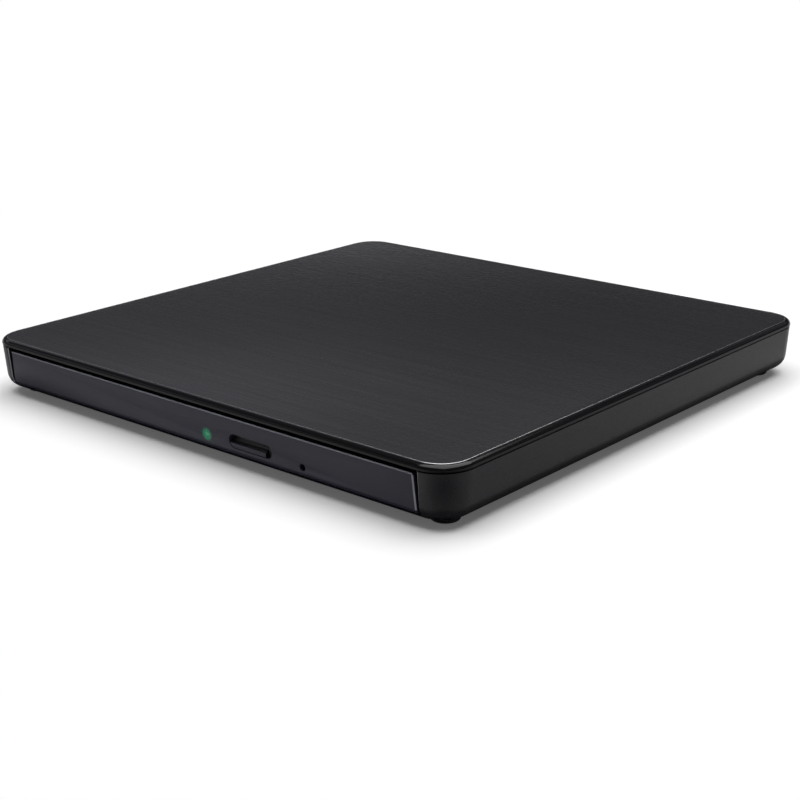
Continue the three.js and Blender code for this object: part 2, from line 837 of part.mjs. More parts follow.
// Tray: a deck with the disc's recess, over a tub that holds the drive unit
function discTray() {
  let body = join(
    prism(roundedRect(-trayHalf, trayHalf, bezelBack, trayRear, tray.cornerRadius), deckBottom, deckTop),
    box(-trayHalf, trayHalf, bezelBack, bezelBack + tray.cornerRadius, deckBottom, deckTop),
  );
  const landing = recessFloor + tray.landingStep;
  const recess = drum(recessRadius, landing, deckTop + overrun, 0, spindleY, 3 * roundSteps);
  const recessCore = drum(recessRadius - tray.landing, recessFloor, deckTop, 0, spindleY, 2 * roundSteps);
  const fingerSpots = [-1, 1].map((sx) => {
    const reach = recessRadius * Math.SQRT1_2;
    const y = spindleY + reach;
    return drum(tray.fingerRadius, recessFloor, deckTop + overrun, sx * reach, y, roundSteps);
  });
  body = cut(body, recess, recessCore, ...fingerSpots);

  const tubInner = tubHalf - tray.wall;
  const lower = (x0, x1, y0, y1, z0) => box(x0, x1, y0, y1, z0, deckBottom + tray.floor / 2);
  const walls = [
    lower(-tubHalf, tubHalf, bezelBack, bezelBack + tray.front, shieldTop),
    lower(-tubHalf, tubHalf, tubRear - tray.wall, tubRear, shieldTop),
  ];
  const tongueBottom = railBottom + rail.sheet + clearance;
  const tongueTop = railTop - rail.sheet - clearance;
  const tongueOuter = railOuter - rail.sheet - clearance;
  for (const { sx } of sides) {
    const tubWall = [bezelBack, tubRear, shieldTop, deckBottom + tray.floor / 2];
    const skirt = [bezelBack, trayRear, tongueBottom, deckBottom + tray.floor / 2];
    walls.push(sideBox(sx, tubInner, tubHalf, ...tubWall));
    walls.push(sideBox(sx, tubInner, tubHalf, ...skirt));
    const tongue = [chassisFront, trayRear, tongueBottom, tongueTop];
    walls.push(sideBox(sx, tubHalf - tray.wall / 2, tongueOuter, ...tongue));
  }
  body = join(body, ...walls);

  const ribTop = deckBottom + tray.floor / 2;
  const pin = drum(latch.pinRadius, latchFloor - latch.pinDrop, ribTop, latch.pivotX, latchY);
  const ribs = [ejectorRearRib, ejectorRearRib - ejector.span].map((y) =>
    box(
      ejector.x - ejector.ribHalf,
      ejector.x + ejector.ribHalf,
      y,
      y + ejector.rib,
      deckBottom - ejector.ribDrop,
      ribTop,
    ),
  );
  body = join(body, pin, ...ribs);

  return named(
    "disc_tray",
    cut(
      body,
      prism(unitOutline(0), deckFloor, deckTop, cornerSteps, intoUnit),
      prism(unitOutline(-tray.ledge), deckBottom - overrun, deckTop, cornerSteps, intoUnit),
      box(
        tray.windowLeft,
        tray.windowRight,
        bezelBack - overrun,
        bezelBack + tray.front + overrun,
        shieldTop + tray.windowEdge,
        deckBottom,
      ),
      box(
        latch.pivotX - latch.slotHalf,
        latch.pivotX + latch.slotHalf,
        tubRear - tray.wall - overrun,
        tubRear + overrun,
        latchFloor - clearance,
        latchFloor + latch.thickness + clearance,
      ),
      drumAlongY(
        ejector.radius + clearance,
        ejectorRearRib - ejector.span - overrun,
        ejectorRearRib + ejector.rib + overrun,
        ejector.x,
        ejectorZ,
      ),
    ),
    trayBlack,
  );
}

function trayShield() {
  const outline = roundedRect(-tubHalf, tubHalf, bezelBack, tubRear, shieldSheet);
  return named("tray_shield", prism(outline, shieldBottom, shieldTop), steel);
}

// Front bezel: a plate that carries on the case's leaning wall, with a bevel along its bottom edge
function frontBezel() {
  const bevelTop = bezelBottom + bezel.bevelRise;
  const edgeZ = bezelTop - bezel.topEdge;
  const face = loft([
    [wallInset(bezelBottom) + bezel.bevelRun, bezelBottom],
    [wallInset(bevelTop), bevelTop],
    [wallInset(edgeZ), edgeZ],
    [wallInset(bezelTop) + bezel.topEdge, bezelTop],
  ]);
  const front = -halfDepth - overrun;
  const back = bezelBack + overrun;
  const holeHalf = button.halfLength + button.gap;
  const buttonHole = pill(button.x, button.z, holeHalf, button.halfHeight + button.gap);
  return named(
    "front_bezel",
    cut(
      alongY(bezelOutline(), front, bezelBack).intersect(face),
      alongY(buttonHole, front, back),
      drumAlongY(lens.radius + snugGap, front, back, lens.x, lens.z),
      drumAlongY(pinhole.radius, front, back, pinhole.x, pinhole.z),
    ),
    bezelBlack,
  );
}

// The button's face sinks a little below the bezel and leans as the bezel does
function ejectButton() {
  const faceY = -halfDepth + wallInset(button.z) + button.sink;
  const flangeBack = bezelBack + button.flangeThickness;
  const stemEnd = bezelBack + tray.front + button.stemReach;
  const inFlange = bezelBack + button.flangeThickness / 2;
  const cap = alongY(pill(button.x, button.z, button.halfLength, button.halfHeight), faceY, inFlange);
  const flange = alongY(
    pill(button.x, button.z, button.halfLength + button.flange, button.halfHeight + button.flange),
    bezelBack,
    flangeBack,
  );
  const stem = box(
    button.x - button.stemHalf,
    button.x + button.stemHalf,
    bezelBack,
    stemEnd,
    button.z - button.stemHalf / 2,
    button.z + button.stemHalf / 2,
  );
  const dish = drumAlongX(
    button.dishRadius,
    button.x - button.halfLength - overrun,
    button.x + button.halfLength + overrun,
    faceY - button.dishRadius + button.dishDepth,
    button.z + button.dishRise,
    2 * roundSteps,
  );
  return named("eject_button", join(cap, flange, stem).subtract(dish), buttonBlack);
}

function activityLens() {
  const faceY = -halfDepth + wallInset(lens.z) - lens.proud;
  const pipe = drumAlongY(lens.radius, faceY, bezelBack + lens.flange / 2, lens.x, lens.z);
  const flange = drumAlongY(lens.radius + lens.flange, bezelBack, bezelBack + lens.flange, lens.x, lens.z);
  return named("activity_lens", join(pipe, flange), lampGreen);
}

// Board behind the bezel with the eject switch and the lamp
function trayBoardPiece() {
  const y0 = bezelBack + tray.front + trayBoard.frontGap;
  const y1 = y0 + trayBoard.depth;
  const outline = roundedRect(trayBoard.left, trayBoard.right, y0, y1, trayBoard.thickness);
  return named("tray_board", prism(outline, shieldTop + trayBoard.lift, trayBoardTop), boardGreen);
}

function ejectSwitch() {
  const capFront = bezelBack + tray.front + button.stemReach + button.travel + button.switchGap;
  const bodyFront = capFront + tact.capLength;
  const body = box(
    button.x - tact.half,
    button.x + tact.half,
    bodyFront,
    bodyFront + tact.depth,
    trayBoardTop,
    trayBoardTop + tact.height,
  );
  const cap = drumAlongY(tact.capRadius, capFront, bodyFront + tact.depth / 2, button.x, button.z);
  return named("eject_switch", join(body, cap), nickel);
}

function activityLamp() {
  const y0 = bezelBack + tray.front + trayBoard.frontGap;
  const solid = box(
    lens.x - lamp.half,
    lens.x + lamp.half,
    y0,
    y0 + lamp.depth,
    trayBoardTop,
    lens.z + lamp.half,
  );
  return named("activity_lamp", solid, polymer);
}

// Lock lever, its coil and the ejector at the back of the tub
function lockLever() {
  const armEnd = latch.reach;
  const arm = [
    [-latch.armHalf, 0],
    [latch.armHalf, 0],
    [latch.armHalf, armEnd],
    [-latch.armHalf - latch.hook, armEnd],
    [-latch.armHalf - latch.hook, armEnd - latch.hookDepth],
    [-latch.armHalf, armEnd - latch.hookDepth],
  ];
  const solid = cut(
    join(
      prism(softened(arm, latch.armHalf / 4), 0, latch.thickness, bendSteps),
      drum(latch.hubRadius, 0, latch.thickness),
    ),
    drum(latch.pinRadius + clearance, -overrun, latch.thickness + overrun),
  );
  const mesh = named("lock_lever", solid, darkSteel);
  mesh.position.set(latch.pivotX, latchY, latchFloor);
  return mesh;
}

function lockCoil() {
  const spool = join(
    box(-coil.halfX, coil.halfX, -coil.halfY, -coil.halfY + coil.cheek, 0, coil.height),
    box(-coil.halfX, coil.halfX, coil.halfY - coil.cheek, coil.halfY, 0, coil.height),
    prism(
      roundedRect(coil.waist - coil.halfX, coil.halfX - coil.waist, -coil.halfY, coil.halfY, coil.cheek / 2),
      0,
      coil.height - coil.waist / 2,
    ),
    drumAlongX(coil.core, 0, coil.halfX + coil.coreLength, 0, coil.height / 2),
  );
  const mesh = named("lock_coil", spool, copper);
  mesh.position.set(coil.x, tubRear - coil.back, shieldTop);
  return mesh;
}

function ejectorPin() {
  const tip = chassisRear - clearance;
  const collarEnd = ejectorRearRib - snugGap;
  const solid = join(
    drumAlongY(ejector.radius, tip - ejector.length, tip, 0, 0),
    drumAlongY(ejector.collarRadius, collarEnd - ejector.collar, collarEnd, 0, 0),
  );
  const mesh = named("ejector_pin", solid, nickel);
  mesh.position.set(ejector.x, 0, ejectorZ);
  return mesh;
}

class CoilCurve extends THREE.Curve {
  constructor(radius, length, turns) {
    super();
    Object.assign(this, { radius, length, turns });
  }
  getPoint(t, target = new THREE.Vector3()) {
    const angle = 2 * Math.PI * this.turns * t;
    return target.set(this.radius * Math.cos(angle), this.length * t, this.radius * Math.sin(angle));
  }
}

function ejectorSpring() {
  const start = ejectorRearRib - ejector.span + ejector.rib + snugGap + ejector.wire;
  const end = ejectorRearRib - 2 * snugGap - ejector.collar - ejector.wire;
  const wire = new THREE.Shape();
  for (let i = 0; i < ejector.wireSides; i += 1) {
    const angle = (2 * Math.PI * i) / ejector.wireSides;
    const x = ejector.wire * Math.cos(angle);
    const y = ejector.wire * Math.sin(angle);
    if (i === 0) wire.moveTo(x, y);
    else wire.lineTo(x, y);
  }
  const geometry = new THREE.ExtrudeGeometry(wire, {
    steps: ejector.turns * ejector.stepsPerTurn,
    extrudePath: new CoilCurve(ejector.coilRadius, end - start, ejector.turns),
  });
  const mesh = named("ejector_spring", solidOf(geometry), steel);
  mesh.position.set(ejector.x, start, ejectorZ);
  return mesh;
}

// Boards, chips and the socket at the back
function mainBoard() {
  const outline = roundedRect(-boardHalf, boardHalf, board.front, boardRear, board.thickness);
  return named("main_board", prism(outline, boardBottom, boardTop, bendSteps), boardGreen);
}

function boardChip(name, { side, height, fromMiddle, fromFront }) {
  const half = side / 2;
  const mesh = named(name, prism(roundedRect(-half, half, -half, half, clearance), 0, height, 1), chipBlack);
  mesh.position.set(fromMiddle, board.front + fromFront, boardTop);
  return mesh;
}

function ribbonSocket() {
  const socketRear = board.front - socket.overhang + socket.depth;
  const half = ribbon.width / 2 + socket.overhang;
  const slotZ = boardTop + ribbon.entry;
  const solid = cut(
    box(ribbon.x - half, ribbon.x + half, board.front, socketRear, boardTop, boardTop + socket.height),
    box(
      ribbon.x - ribbon.width / 2 - snugGap,
      ribbon.x + ribbon.width / 2 + snugGap,
      board.front - overrun,
      board.front + socket.depth / 2,
      slotZ - snugGap,
      slotZ + ribbon.thickness + snugGap,
    ),
  );
  return named("ribbon_socket", solid, polymer);
}

// The fixed run of the flat cable: along the chassis floor, up in front of the board, into its socket
function flatCable() {
  const low = chassisTop;
  const high = boardTop + ribbon.entry;
  const rise = board.front - ribbon.front;
  const t = ribbon.thickness;
  const side = [
    [rise - ribbon.length, low],
    [rise, low],
    [rise + t, low + t],
    [rise + t, high],
    [board.front + socket.depth / 4, high],
    [board.front + socket.depth / 4, high + t],
    [rise, high + t],
    [rise - t / 2, high],
    [rise - t / 2, low + t],
    [rise - ribbon.length, low + t],
  ];
  const shape = new THREE.Shape(side.map(([y, z]) => new THREE.Vector2(y, z)));
  const half = ribbon.width / 2;
  return named("flat_cable", alongX(shape, ribbon.x - half, ribbon.x + half), ribbonTone);
}

function socketOutline(inset) {
  const half = usb.width / 2 - inset;
  const low = boardTop + inset;
  const high = boardTop + usb.height - inset;
  return new THREE.Shape(
    [
      [-half, high],
      [-half, low + usb.chamfer],
      [usb.chamfer - half, low],
      [half - usb.chamfer, low],
      [half, low + usb.chamfer],
      [half, high],
    ].map(([x, z]) => new THREE.Vector2(usb.x + x, z)),
  );
}

function socketShell() {
  const solid = alongY(socketOutline(0), socketMouth - usb.depth, socketMouth).subtract(
    alongY(socketOutline(usb.sheet), socketMouth - usb.depth - overrun, socketMouth + overrun),
  );
  return named("usb_socket_shell", solid, nickel);
}

function socketTongue() {
  const back = socketMouth - usb.depth;
  const base = alongY(socketOutline(usb.sheet + snugGap), back, back + usb.base);
  const middle = boardTop + usb.height / 2;
  const tongue = box(
    usb.x - usb.tongueHalf,
    usb.x + usb.tongueHalf,
    back + usb.base / 2,
    back + usb.base + usb.tongueLength,
    middle - usb.tongueThickness / 2,
    middle + usb.tongueThickness / 2,
  );
  return named("usb_socket_tongue", join(base, tongue), chipBlack);
}

// Drive unit, drawn in its own directions
function unitPlate() {
  const stepperHalf = stepper.halfWidth + clearance;
  const holders = [rod.start, rod.end - rod.holder].flatMap((x) =>
    [-rod.side, rod.side].map((y) =>
      box(x, x + rod.holder, y - rod.holderHalf, y + rod.holderHalf, plateFloor, plateFace + rod.holderRise),
    ),
  );
  const screwBoss = box(
    leadScrew.bossStart,
    leadScrew.bossStart + leadScrew.bossLength,
    -leadScrew.side - leadScrew.bossHalf,
    -leadScrew.side + leadScrew.bossHalf,
    plateFloor,
    plateFace + rod.holderRise,
  );
  let solid = cut(
    prism(unitOutline(0), plateFloor, plateFace),
    prism(
      roundedRect(plate.slotStart, plate.slotEnd, -plate.slotHalf, plate.slotHalf, plate.bend),
      plateFloor - overrun,
      plateFace + overrun,
    ),
    box(
      stepper.end - stepper.flange - stepper.length - clearance,
      stepper.end - stepper.flange,
      -plate.half - overrun,
      stepperHalf - leadScrew.side,
      plateFloor - overrun,
      plateFace + overrun,
    ),
  );
  solid = join(solid, ...holders, screwBoss);
  const rodBores = [-rod.side, rod.side].flatMap((y) => [
    drumAlongX(rod.radius + clearance, rod.start - overrun, rod.end + overrun, y, rodZ),
  ]);
  const screwBore = drumAlongX(
    leadScrew.radius + clearance,
    leadScrew.bossStart - overrun,
    leadScrew.bossStart + leadScrew.bossLength + overrun,
    -leadScrew.side,
    rodZ,
  );
  const damperBores = damperPlaces.map(([x, y]) =>
    drum(damper.neck + clearance, plateFloor - overrun, plateFace + overrun, x, y),
  );
  return named("unit_plate", cut(solid, ...rodBores, screwBore, ...damperBores), darkSteel);
}

function rubberDamper([x, y], i) {
  const top = plateFace + damper.flange;
  const solid = turned(
    [
      [damper.bore, 0],
      [damper.radius, 0],
      [damper.radius, damper.flange],
      [damper.neck, damper.flange],
      [damper.neck, top - shieldTop],
      [damper.radius, top - shieldTop],
      [damper.radius, top - shieldTop + damper.topFlange],
      [damper.bore, top - shieldTop + damper.topFlange],
      [damper.bore, 0],
    ],
    fineSteps,
  );
  const mesh = named(`damper_${i + 1}`, solid, rubberBlack);
  mesh.position.set(x, y, shieldTop);
  return mesh;
}

function spindleMotor() {
  const top = motor.height;
  const boreBottom = top - motor.boreDepth;
  const solid = turned([
    [0, 0],
    [motor.radius, 0],
    [motor.radius, top - motor.step],
    [motor.radius - motor.shoulder, top],
    [motor.bore, top],
    [motor.bore, boreBottom],
    [0, boreBottom],
  ]);
  const mesh = named("spindle_motor", solid, darkSteel);
  mesh.position.z = plateFace;
  return mesh;
}

// Turntable: a platform with a ring seat, a hub with three slots and a short shaft
function turntablePiece() {
  const shaftRadius = motor.bore - clearance;
  const padInner = turntable.radius - turntable.padWidth - clearance / 2;
  let solid = turned([
    [0, -turntable.shaftLength - turntable.lift],
    [shaftRadius, -turntable.shaftLength - turntable.lift],
    [shaftRadius, 0],
    [turntable.radius, 0],
    [turntable.radius, turntable.thickness - turntable.padSeat],
    [padInner, turntable.thickness - turntable.padSeat],
    [padInner, turntable.thickness],
    [turntable.hubRadius, turntable.thickness],
    [turntable.hubRadius, turntable.thickness + turntable.hubHeight - turntable.hubChamfer],
    [turntable.hubRadius - turntable.hubChamfer, turntable.thickness + turntable.hubHeight],
    [0, turntable.thickness + turntable.hubHeight],
  ]);
  for (let i = 0; i < jaw.count; i += 1) {
    const slot = new THREE.BoxGeometry(
      jaw.length + jaw.proud + clearance + jaw.travel + overrun,
      2 * (jaw.half + clearance),
      jaw.height + 2 * clearance,
    );
    const inner = turntable.hubRadius + jaw.proud - jaw.length - jaw.travel - clearance;
    const middle = inner + (jaw.length + jaw.proud + clearance + jaw.travel + overrun) / 2;
    slot.translate(middle, 0, turntable.thickness + jaw.lift + jaw.height / 2);
    slot.rotateZ((2 * Math.PI * i) / jaw.count);
    solid = solid.subtract(solidOf(slot));
  }
  const mesh = named("turntable", solid, trayBlack);
  mesh.position.z = platformBottom;
  return mesh;
}

function turntableRing() {
  const inner = turntable.radius - turntable.padWidth;
  const solid = turned([
    [inner, 0],
    [turntable.radius, 0],
    [turntable.radius, turntable.padThickness],
    [inner, turntable.padThickness],
    [inner, 0],
  ]);
  const mesh = named("turntable_ring", solid, rubberBlack);
  mesh.position.z = platformTop - turntable.padSeat;
  return mesh;
}

// A jaw stands a little proud of the hub and has a sloped nose
function hubJaw(i) {
  const outer = turntable.hubRadius + jaw.proud;
  const side = [
    [outer - jaw.length, 0],
    [outer - jaw.nose, 0],
    [outer, jaw.nose / 2],
    [outer - jaw.nose, jaw.height],
    [outer - jaw.length, jaw.height],
  ];
  const shape = new THREE.Shape(side.map(([x, z]) => new THREE.Vector2(x, z)));
  const mesh = named(`hub_jaw_${i + 1}`, alongY(shape, -jaw.half, jaw.half), polymer);
  mesh.position.z = platformTop + jaw.lift;
  const turn = new THREE.Group();
  turn.rotation.z = (2 * Math.PI * i) / jaw.count;
  turn.add(mesh);
  return turn;
}

function guideRod(side, y) {
  const mesh = named(`guide_rod_${side}`, drumAlongX(rod.radius, rod.start, rod.end, 0, 0), nickel);
  mesh.position.set(0, y, rodZ);
  return mesh;
}

// Pickup sled: it hangs on both rods and is driven by an arm round the lead screw
function pickupSled() {
  const end = sled.start + sled.length;
  const shoulder = sled.start + sled.wide;
  const outline = softened(
    [
      [sled.start, -sled.half],
      [shoulder, -sled.half],
      [shoulder + sled.bend, -sled.noseHalf],
      [end, -sled.noseHalf],
      [end, sled.noseHalf],
      [shoulder + sled.bend, sled.noseHalf],
      [shoulder, sled.half],
      [sled.start, sled.half],
    ],
    sled.bend / 2,
  );
  const z0 = plateFace + sled.lift;
  const z1 = z0 + sled.height;
  const armStart = sled.start + sled.armStart;
  const arm = box(
    armStart,
    armStart + sled.armWidth,
    -leadScrew.side - sled.armReach,
    clearance - sled.half,
    z0,
    z1,
  );
  const pocketFloor = plateFace + holder.lift - holder.focus - clearance;
  const pocket = roundedRect(
    holder.u - holder.halfU - clearance,
    holder.u + holder.halfU + clearance,
    -holder.halfV - clearance,
    holder.halfV + clearance,
    holder.corner,
  );
  const bores = [
    ...[-rod.side, rod.side].map((y) =>
      drumAlongX(rod.radius + clearance, sled.start - overrun, end + overrun, y, rodZ),
    ),
    drumAlongX(
      leadScrew.radius + clearance,
      sled.start - overrun,
      armStart + sled.armWidth + overrun,
      -leadScrew.side,
      rodZ,
    ),
  ];
  const solid = cut(join(prism(outline, z0, z1), arm), prism(pocket, pocketFloor, z1 + overrun), ...bores);
  return named("pickup_sled", solid, pickupMetal);
}

function lensHolder() {
  const outline = roundedRect(-holder.halfU, holder.halfU, -holder.halfV, holder.halfV, holder.corner);
  const solid = prism(outline, 0, holder.height).subtract(
    drum(objective.radius + clearance, holder.height - objective.drop - clearance, holder.height + overrun),
  );
  const mesh = named("lens_holder", solid, trayBlack);
  mesh.position.set(holder.u, 0, plateFace + holder.lift);
  return mesh;
}

function objectiveLens() {
  const profile = [
    [0, 0],
    [objective.radius, 0],
    [objective.radius, objective.drop],
  ];
  for (let step = 1; step <= bendSteps; step += 1) {
    const angle = (quarterTurn * step) / bendSteps;
    profile.push([objective.radius * Math.cos(angle), objective.drop + objective.rise * Math.sin(angle)]);
  }
  profile[profile.length - 1][0] = 0;
  const mesh = named("objective_lens", turned(profile, fineSteps), clearGlass);
  mesh.position.set(holder.u, 0, plateFace + holder.lift + holder.height - objective.drop);
  return mesh;
}

function leadScrewPiece() {
  const start = stepper.end + clearance;
  const mesh = named("lead_screw", drumAlongX(leadScrew.radius, start, leadScrew.end, 0, 0), nickel);
  mesh.position.set(0, -leadScrew.side, rodZ);
  return mesh;
}

// A flat can with its bearing flange standing on the plate
function steppingMotor() {
  const flangeStart = stepper.end - stepper.flange;
  const outline = pill(-leadScrew.side, rodZ, stepper.halfWidth, stepper.halfHeight);
  const can = alongX(outline, flangeStart - stepper.length, flangeStart + stepper.flange / 2);
  const flange = box(
    flangeStart,
    stepper.end,
    -leadScrew.side - stepper.flangeHalf,
    -leadScrew.side + stepper.flangeHalf,
    plateFace,
    rodZ + stepper.halfHeight,
  );
  return named("stepping_motor", join(can, flange), darkSteel);
}

function deckCover() {
  const solid = cut(
    prism(unitOutline(-clearance), deckFloor, deckFloor + deck.sheet),
    drum(deck.hole, deckFloor - overrun, recessFloor + overrun, 0, 0, roundSteps),
    prism(
      roundedRect(0, deck.slotEnd, -deck.slotHalf, deck.slotHalf, deck.slotBend),
      deckFloor - overrun,
      recessFloor + overrun,
    ),
  );
  return named("deck_cover", solid, steel);
}

// The whole drive: the case and chassis, the tray, and the unit turned within the tray
const drive = new THREE.Group();
drive.add(bottomCase(), topCover());
corners.forEach((corner) => drive.add(rubberFoot(corner), caseScrew(corner)));
drive.add(lowerChassis(), chassisCover());
sides.forEach((side) => drive.add(trayGuide(side), slidingRail(side)));
drive.add(mainBoard(), ribbonSocket(), flatCable(), socketShell(), socketTongue());
drive.add(boardChip("controller_chip", controllerChip), boardChip("motor_driver_chip", driverChip));

const trayGroup = new THREE.Group();
trayGroup.add(discTray(), trayShield(), frontBezel(), ejectButton(), activityLens());
trayGroup.add(trayBoardPiece(), ejectSwitch(), activityLamp());
trayGroup.add(lockLever(), lockCoil(), ejectorPin(), ejectorSpring());

const unit = new THREE.Group();
unit.position.set(0, spindleY, 0);
unit.rotation.z = unitTurn;
unit.add(unitPlate(), ...damperPlaces.map(rubberDamper), spindleMotor(), turntablePiece(), turntableRing());
for (let i = 0; i < jaw.count; i += 1) unit.add(hubJaw(i));
unit.add(guideRod("inner", -rod.side), guideRod("outer", rod.side));
unit.add(pickupSled(), lensHolder(), objectiveLens());
unit.add(leadScrewPiece(), steppingMotor(), deckCover());
trayGroup.add(unit);
drive.add(trayGroup);

export default drive;
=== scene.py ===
import json
import math

import bmesh
import bpy
from mathutils import Matrix, Vector


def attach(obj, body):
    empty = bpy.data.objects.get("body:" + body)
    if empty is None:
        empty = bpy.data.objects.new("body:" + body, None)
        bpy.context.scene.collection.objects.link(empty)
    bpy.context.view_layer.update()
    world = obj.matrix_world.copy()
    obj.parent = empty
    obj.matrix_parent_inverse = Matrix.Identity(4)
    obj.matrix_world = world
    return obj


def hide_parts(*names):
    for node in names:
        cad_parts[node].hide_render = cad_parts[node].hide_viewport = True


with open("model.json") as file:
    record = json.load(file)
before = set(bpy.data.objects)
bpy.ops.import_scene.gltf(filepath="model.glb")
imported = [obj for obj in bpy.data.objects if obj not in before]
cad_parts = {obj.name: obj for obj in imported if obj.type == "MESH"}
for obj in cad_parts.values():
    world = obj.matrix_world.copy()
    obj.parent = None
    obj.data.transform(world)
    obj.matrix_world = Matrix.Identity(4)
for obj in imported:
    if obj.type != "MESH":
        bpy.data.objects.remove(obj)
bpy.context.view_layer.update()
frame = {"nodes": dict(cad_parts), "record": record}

nodes = frame["nodes"]
scene = bpy.context.scene
scene.view_settings.view_transform = "Standard"
MM = 0.001

# Sizes in millimetres, as in the CAD source
HALF_WIDTH, HALF_DEPTH = 72.0, 68.75
CORNER_R, BOTTOM_R = 7.9, 3.7
STANDOFF, WALL_TOP = 1.7, 12.3
WALL = 1.3
SETBACK, DRAFT_RUN = 0.12, 0.72
FLOOR_TOP = 2.6
GROOVE_DEPTH, BAND_BOTTOM = 0.7, 12.6
PLATE_BOTTOM, PLATE_TOP = 12.9, 14.0
SPINDLE_Y = -4.5
BEZEL_HALF, BEZEL_TAPER, BEZEL_BOTTOM, BEZEL_TOP, BEZEL_BACK = 63.4, 0.5, 3.2, 11.65, -66.6
BAY_HALF, LIP_TOP = 64.5, 2.9
CHASSIS_FRONT, CHASSIS_BACK = -62.5, 64.0
BOSS_X, BOSS_Y, BOSS_R, FOOT_X, FOOT_R = 65.6, 60.1, 2.2, 64.4, 3.1
BUTTON_X, BUTTON_Z = 18.7, 6.5
LENS_X, LENS_Z = 5.4, 6.2
PINHOLE_X, PINHOLE_Z = 33.8, 5.5
PLATFORM_BOTTOM, LENS_U = 9.1, 25.0
HUB_EDGE_R, WINDOW_START, WINDOW_END, WINDOW_HALF = 6.65, 4.2, 8.5, 1.6
RING_SEAT_R, RING_OUTER_R, RING_INNER_R = 9.85, 13.0, 10.0
SOCKET_LEFT, SOCKET_RIGHT, SOCKET_LOW, SOCKET_HIGH = 33.9, 42.1, 4.75, 9.15
BAY_FLOOR_HALF = 62.4
POST_BOTTOM, BOSS_TOP = 7.3, 7.0
PILOT_R, SCREW_HEAD_R, SHANK_R = 1.0, 1.7, 1.1
PINHOLE_R, LENS_R, LENS_FLANGE_R, LAMP_HOLE_R = 0.8, 0.75, 1.25, 0.8
SLOT_HALF, SLOT_R = 6.4, 1.6
FOOT_ROUND = 0.7
# Faces before this depth belong to the front edge
FRONT_EDGE_Y = -67.0
# Points in a corner and in a fine circle, and the distance within which points are joined
CORNER_STEPS, FINE_ROUND = 20, 64
WELD = 0.002
# Angles in degrees from which an edge is sharp: on the new pieces, and on the CAD nodes that stay
SHARP_ANGLE, CAD_SHARP_ANGLE, CAD_BEVEL_ANGLE = 40, 38, 35

BOSSES = [(sx * BOSS_X, sy * BOSS_Y) for sx in (-1, 1) for sy in (-1, 1)]


def wall_inset(z):
    return SETBACK + DRAFT_RUN * (WALL_TOP - z) / (WALL_TOP - STANDOFF)


# Mesh helpers
def new_object(name, verts, faces):
    mesh = bpy.data.meshes.new(name)
    mesh.from_pydata([(x * MM, y * MM, z * MM) for x, y, z in verts], [], faces)
    mesh.update()
    obj = bpy.data.objects.new(name, mesh)
    scene.collection.objects.link(obj)
    return obj


def rounded_ring(half_x, half_y, radius, steps=CORNER_STEPS):
    """The outline of a rectangle with round corners."""
    points = []
    for corner, (sx, sy) in enumerate(((1, -1), (1, 1), (-1, 1), (-1, -1))):
        for step in range(steps + 1):
            angle = math.pi / 2 * (corner - 1 + step / steps)
            points.append((sx * (half_x - radius) + radius * math.cos(angle),
                           sy * (half_y - radius) + radius * math.sin(angle)))
    return points


def stack(name, outlines, heights, seat=lambda p: p):
    """A closed solid through level outlines of the same number of points, bottom first."""
    count = len(outlines[0])
    verts = [seat((x, y, z)) for outline, z in zip(outlines, heights) for x, y in outline]
    faces = []
    for ring in range(len(outlines) - 1):
        for i in range(count):
            j = (i + 1) % count
            faces.append((ring * count + i, ring * count + j, (ring + 1) * count + j, (ring + 1) * count + i))
    faces.append(tuple(reversed(range(count))))
    top = (len(outlines) - 1) * count
    faces.append(tuple(range(top, top + count)))
    return new_object(name, verts, faces)


def loft(name, rings):
    """A closed solid through rounded rectangles, one for each (inset from the rim, height)."""
    outlines = [rounded_ring(HALF_WIDTH - inset, HALF_DEPTH - inset, CORNER_R - inset) for inset, _ in rings]
    return stack(name, outlines, [z for _, z in rings])


def block(name, low, high):
    (x0, y0, z0), (x1, y1, z1) = low, high
    return stack(name, [[(x0, y0), (x1, y0), (x1, y1), (x0, y1)]] * 2, [z0, z1])


def along_y(p):
    return (p[0], -p[2], p[1])


def along_x(p):
    return (p[2], p[0], p[1])


def pill(x, y, half_long, half_short, steps=24):
    """An outline with round ends, along x."""
    run = half_long - half_short
    points = []
    for side, start in ((1, -math.pi / 2), (-1, math.pi / 2)):
        for step in range(steps + 1):
            angle = start + math.pi * step / steps
            u, v = side * run + half_short * math.cos(angle), half_short * math.sin(angle)
            points.append((x + u, y + v))
    return points


def circle(x, y, radius, steps=32):
    return [(x + radius * math.cos(2 * math.pi * i / steps), y + radius * math.sin(2 * math.pi * i / steps))
            for i in range(steps)]


def softened(points, bend, steps=6):
    """The outline with each corner drawn as a curve that starts and ends at bend from it."""
    out = []
    for i, corner in enumerate(points):
        c = Vector(corner)
        enter = c + (Vector(points[i - 1]) - c).normalized() * bend
        leave = c + (Vector(points[(i + 1) % len(points)]) - c).normalized() * bend
        for step in range(steps + 1):
            t = step / steps
            p = enter * (1 - t) ** 2 + c * 2 * t * (1 - t) + leave * t * t
            out.append((p.x, p.y))
    return out


def bake(obj):
    """Writes what the modifiers make of a new piece into its mesh."""
    bpy.context.view_layer.update()
    evaluated = obj.evaluated_get(bpy.context.evaluated_depsgraph_get())
    mesh = bpy.data.meshes.new_from_object(evaluated)
    obj.modifiers.clear()
    old = obj.data
    obj.data = mesh
    bpy.data.meshes.remove(old)


def combine(target, tool, operation="DIFFERENCE"):
    modifier = target.modifiers.new("combine", "BOOLEAN")
    modifier.operation = operation
    modifier.object = tool
    modifier.solver = "MANIFOLD"
    bake(target)
    bpy.data.objects.remove(tool)


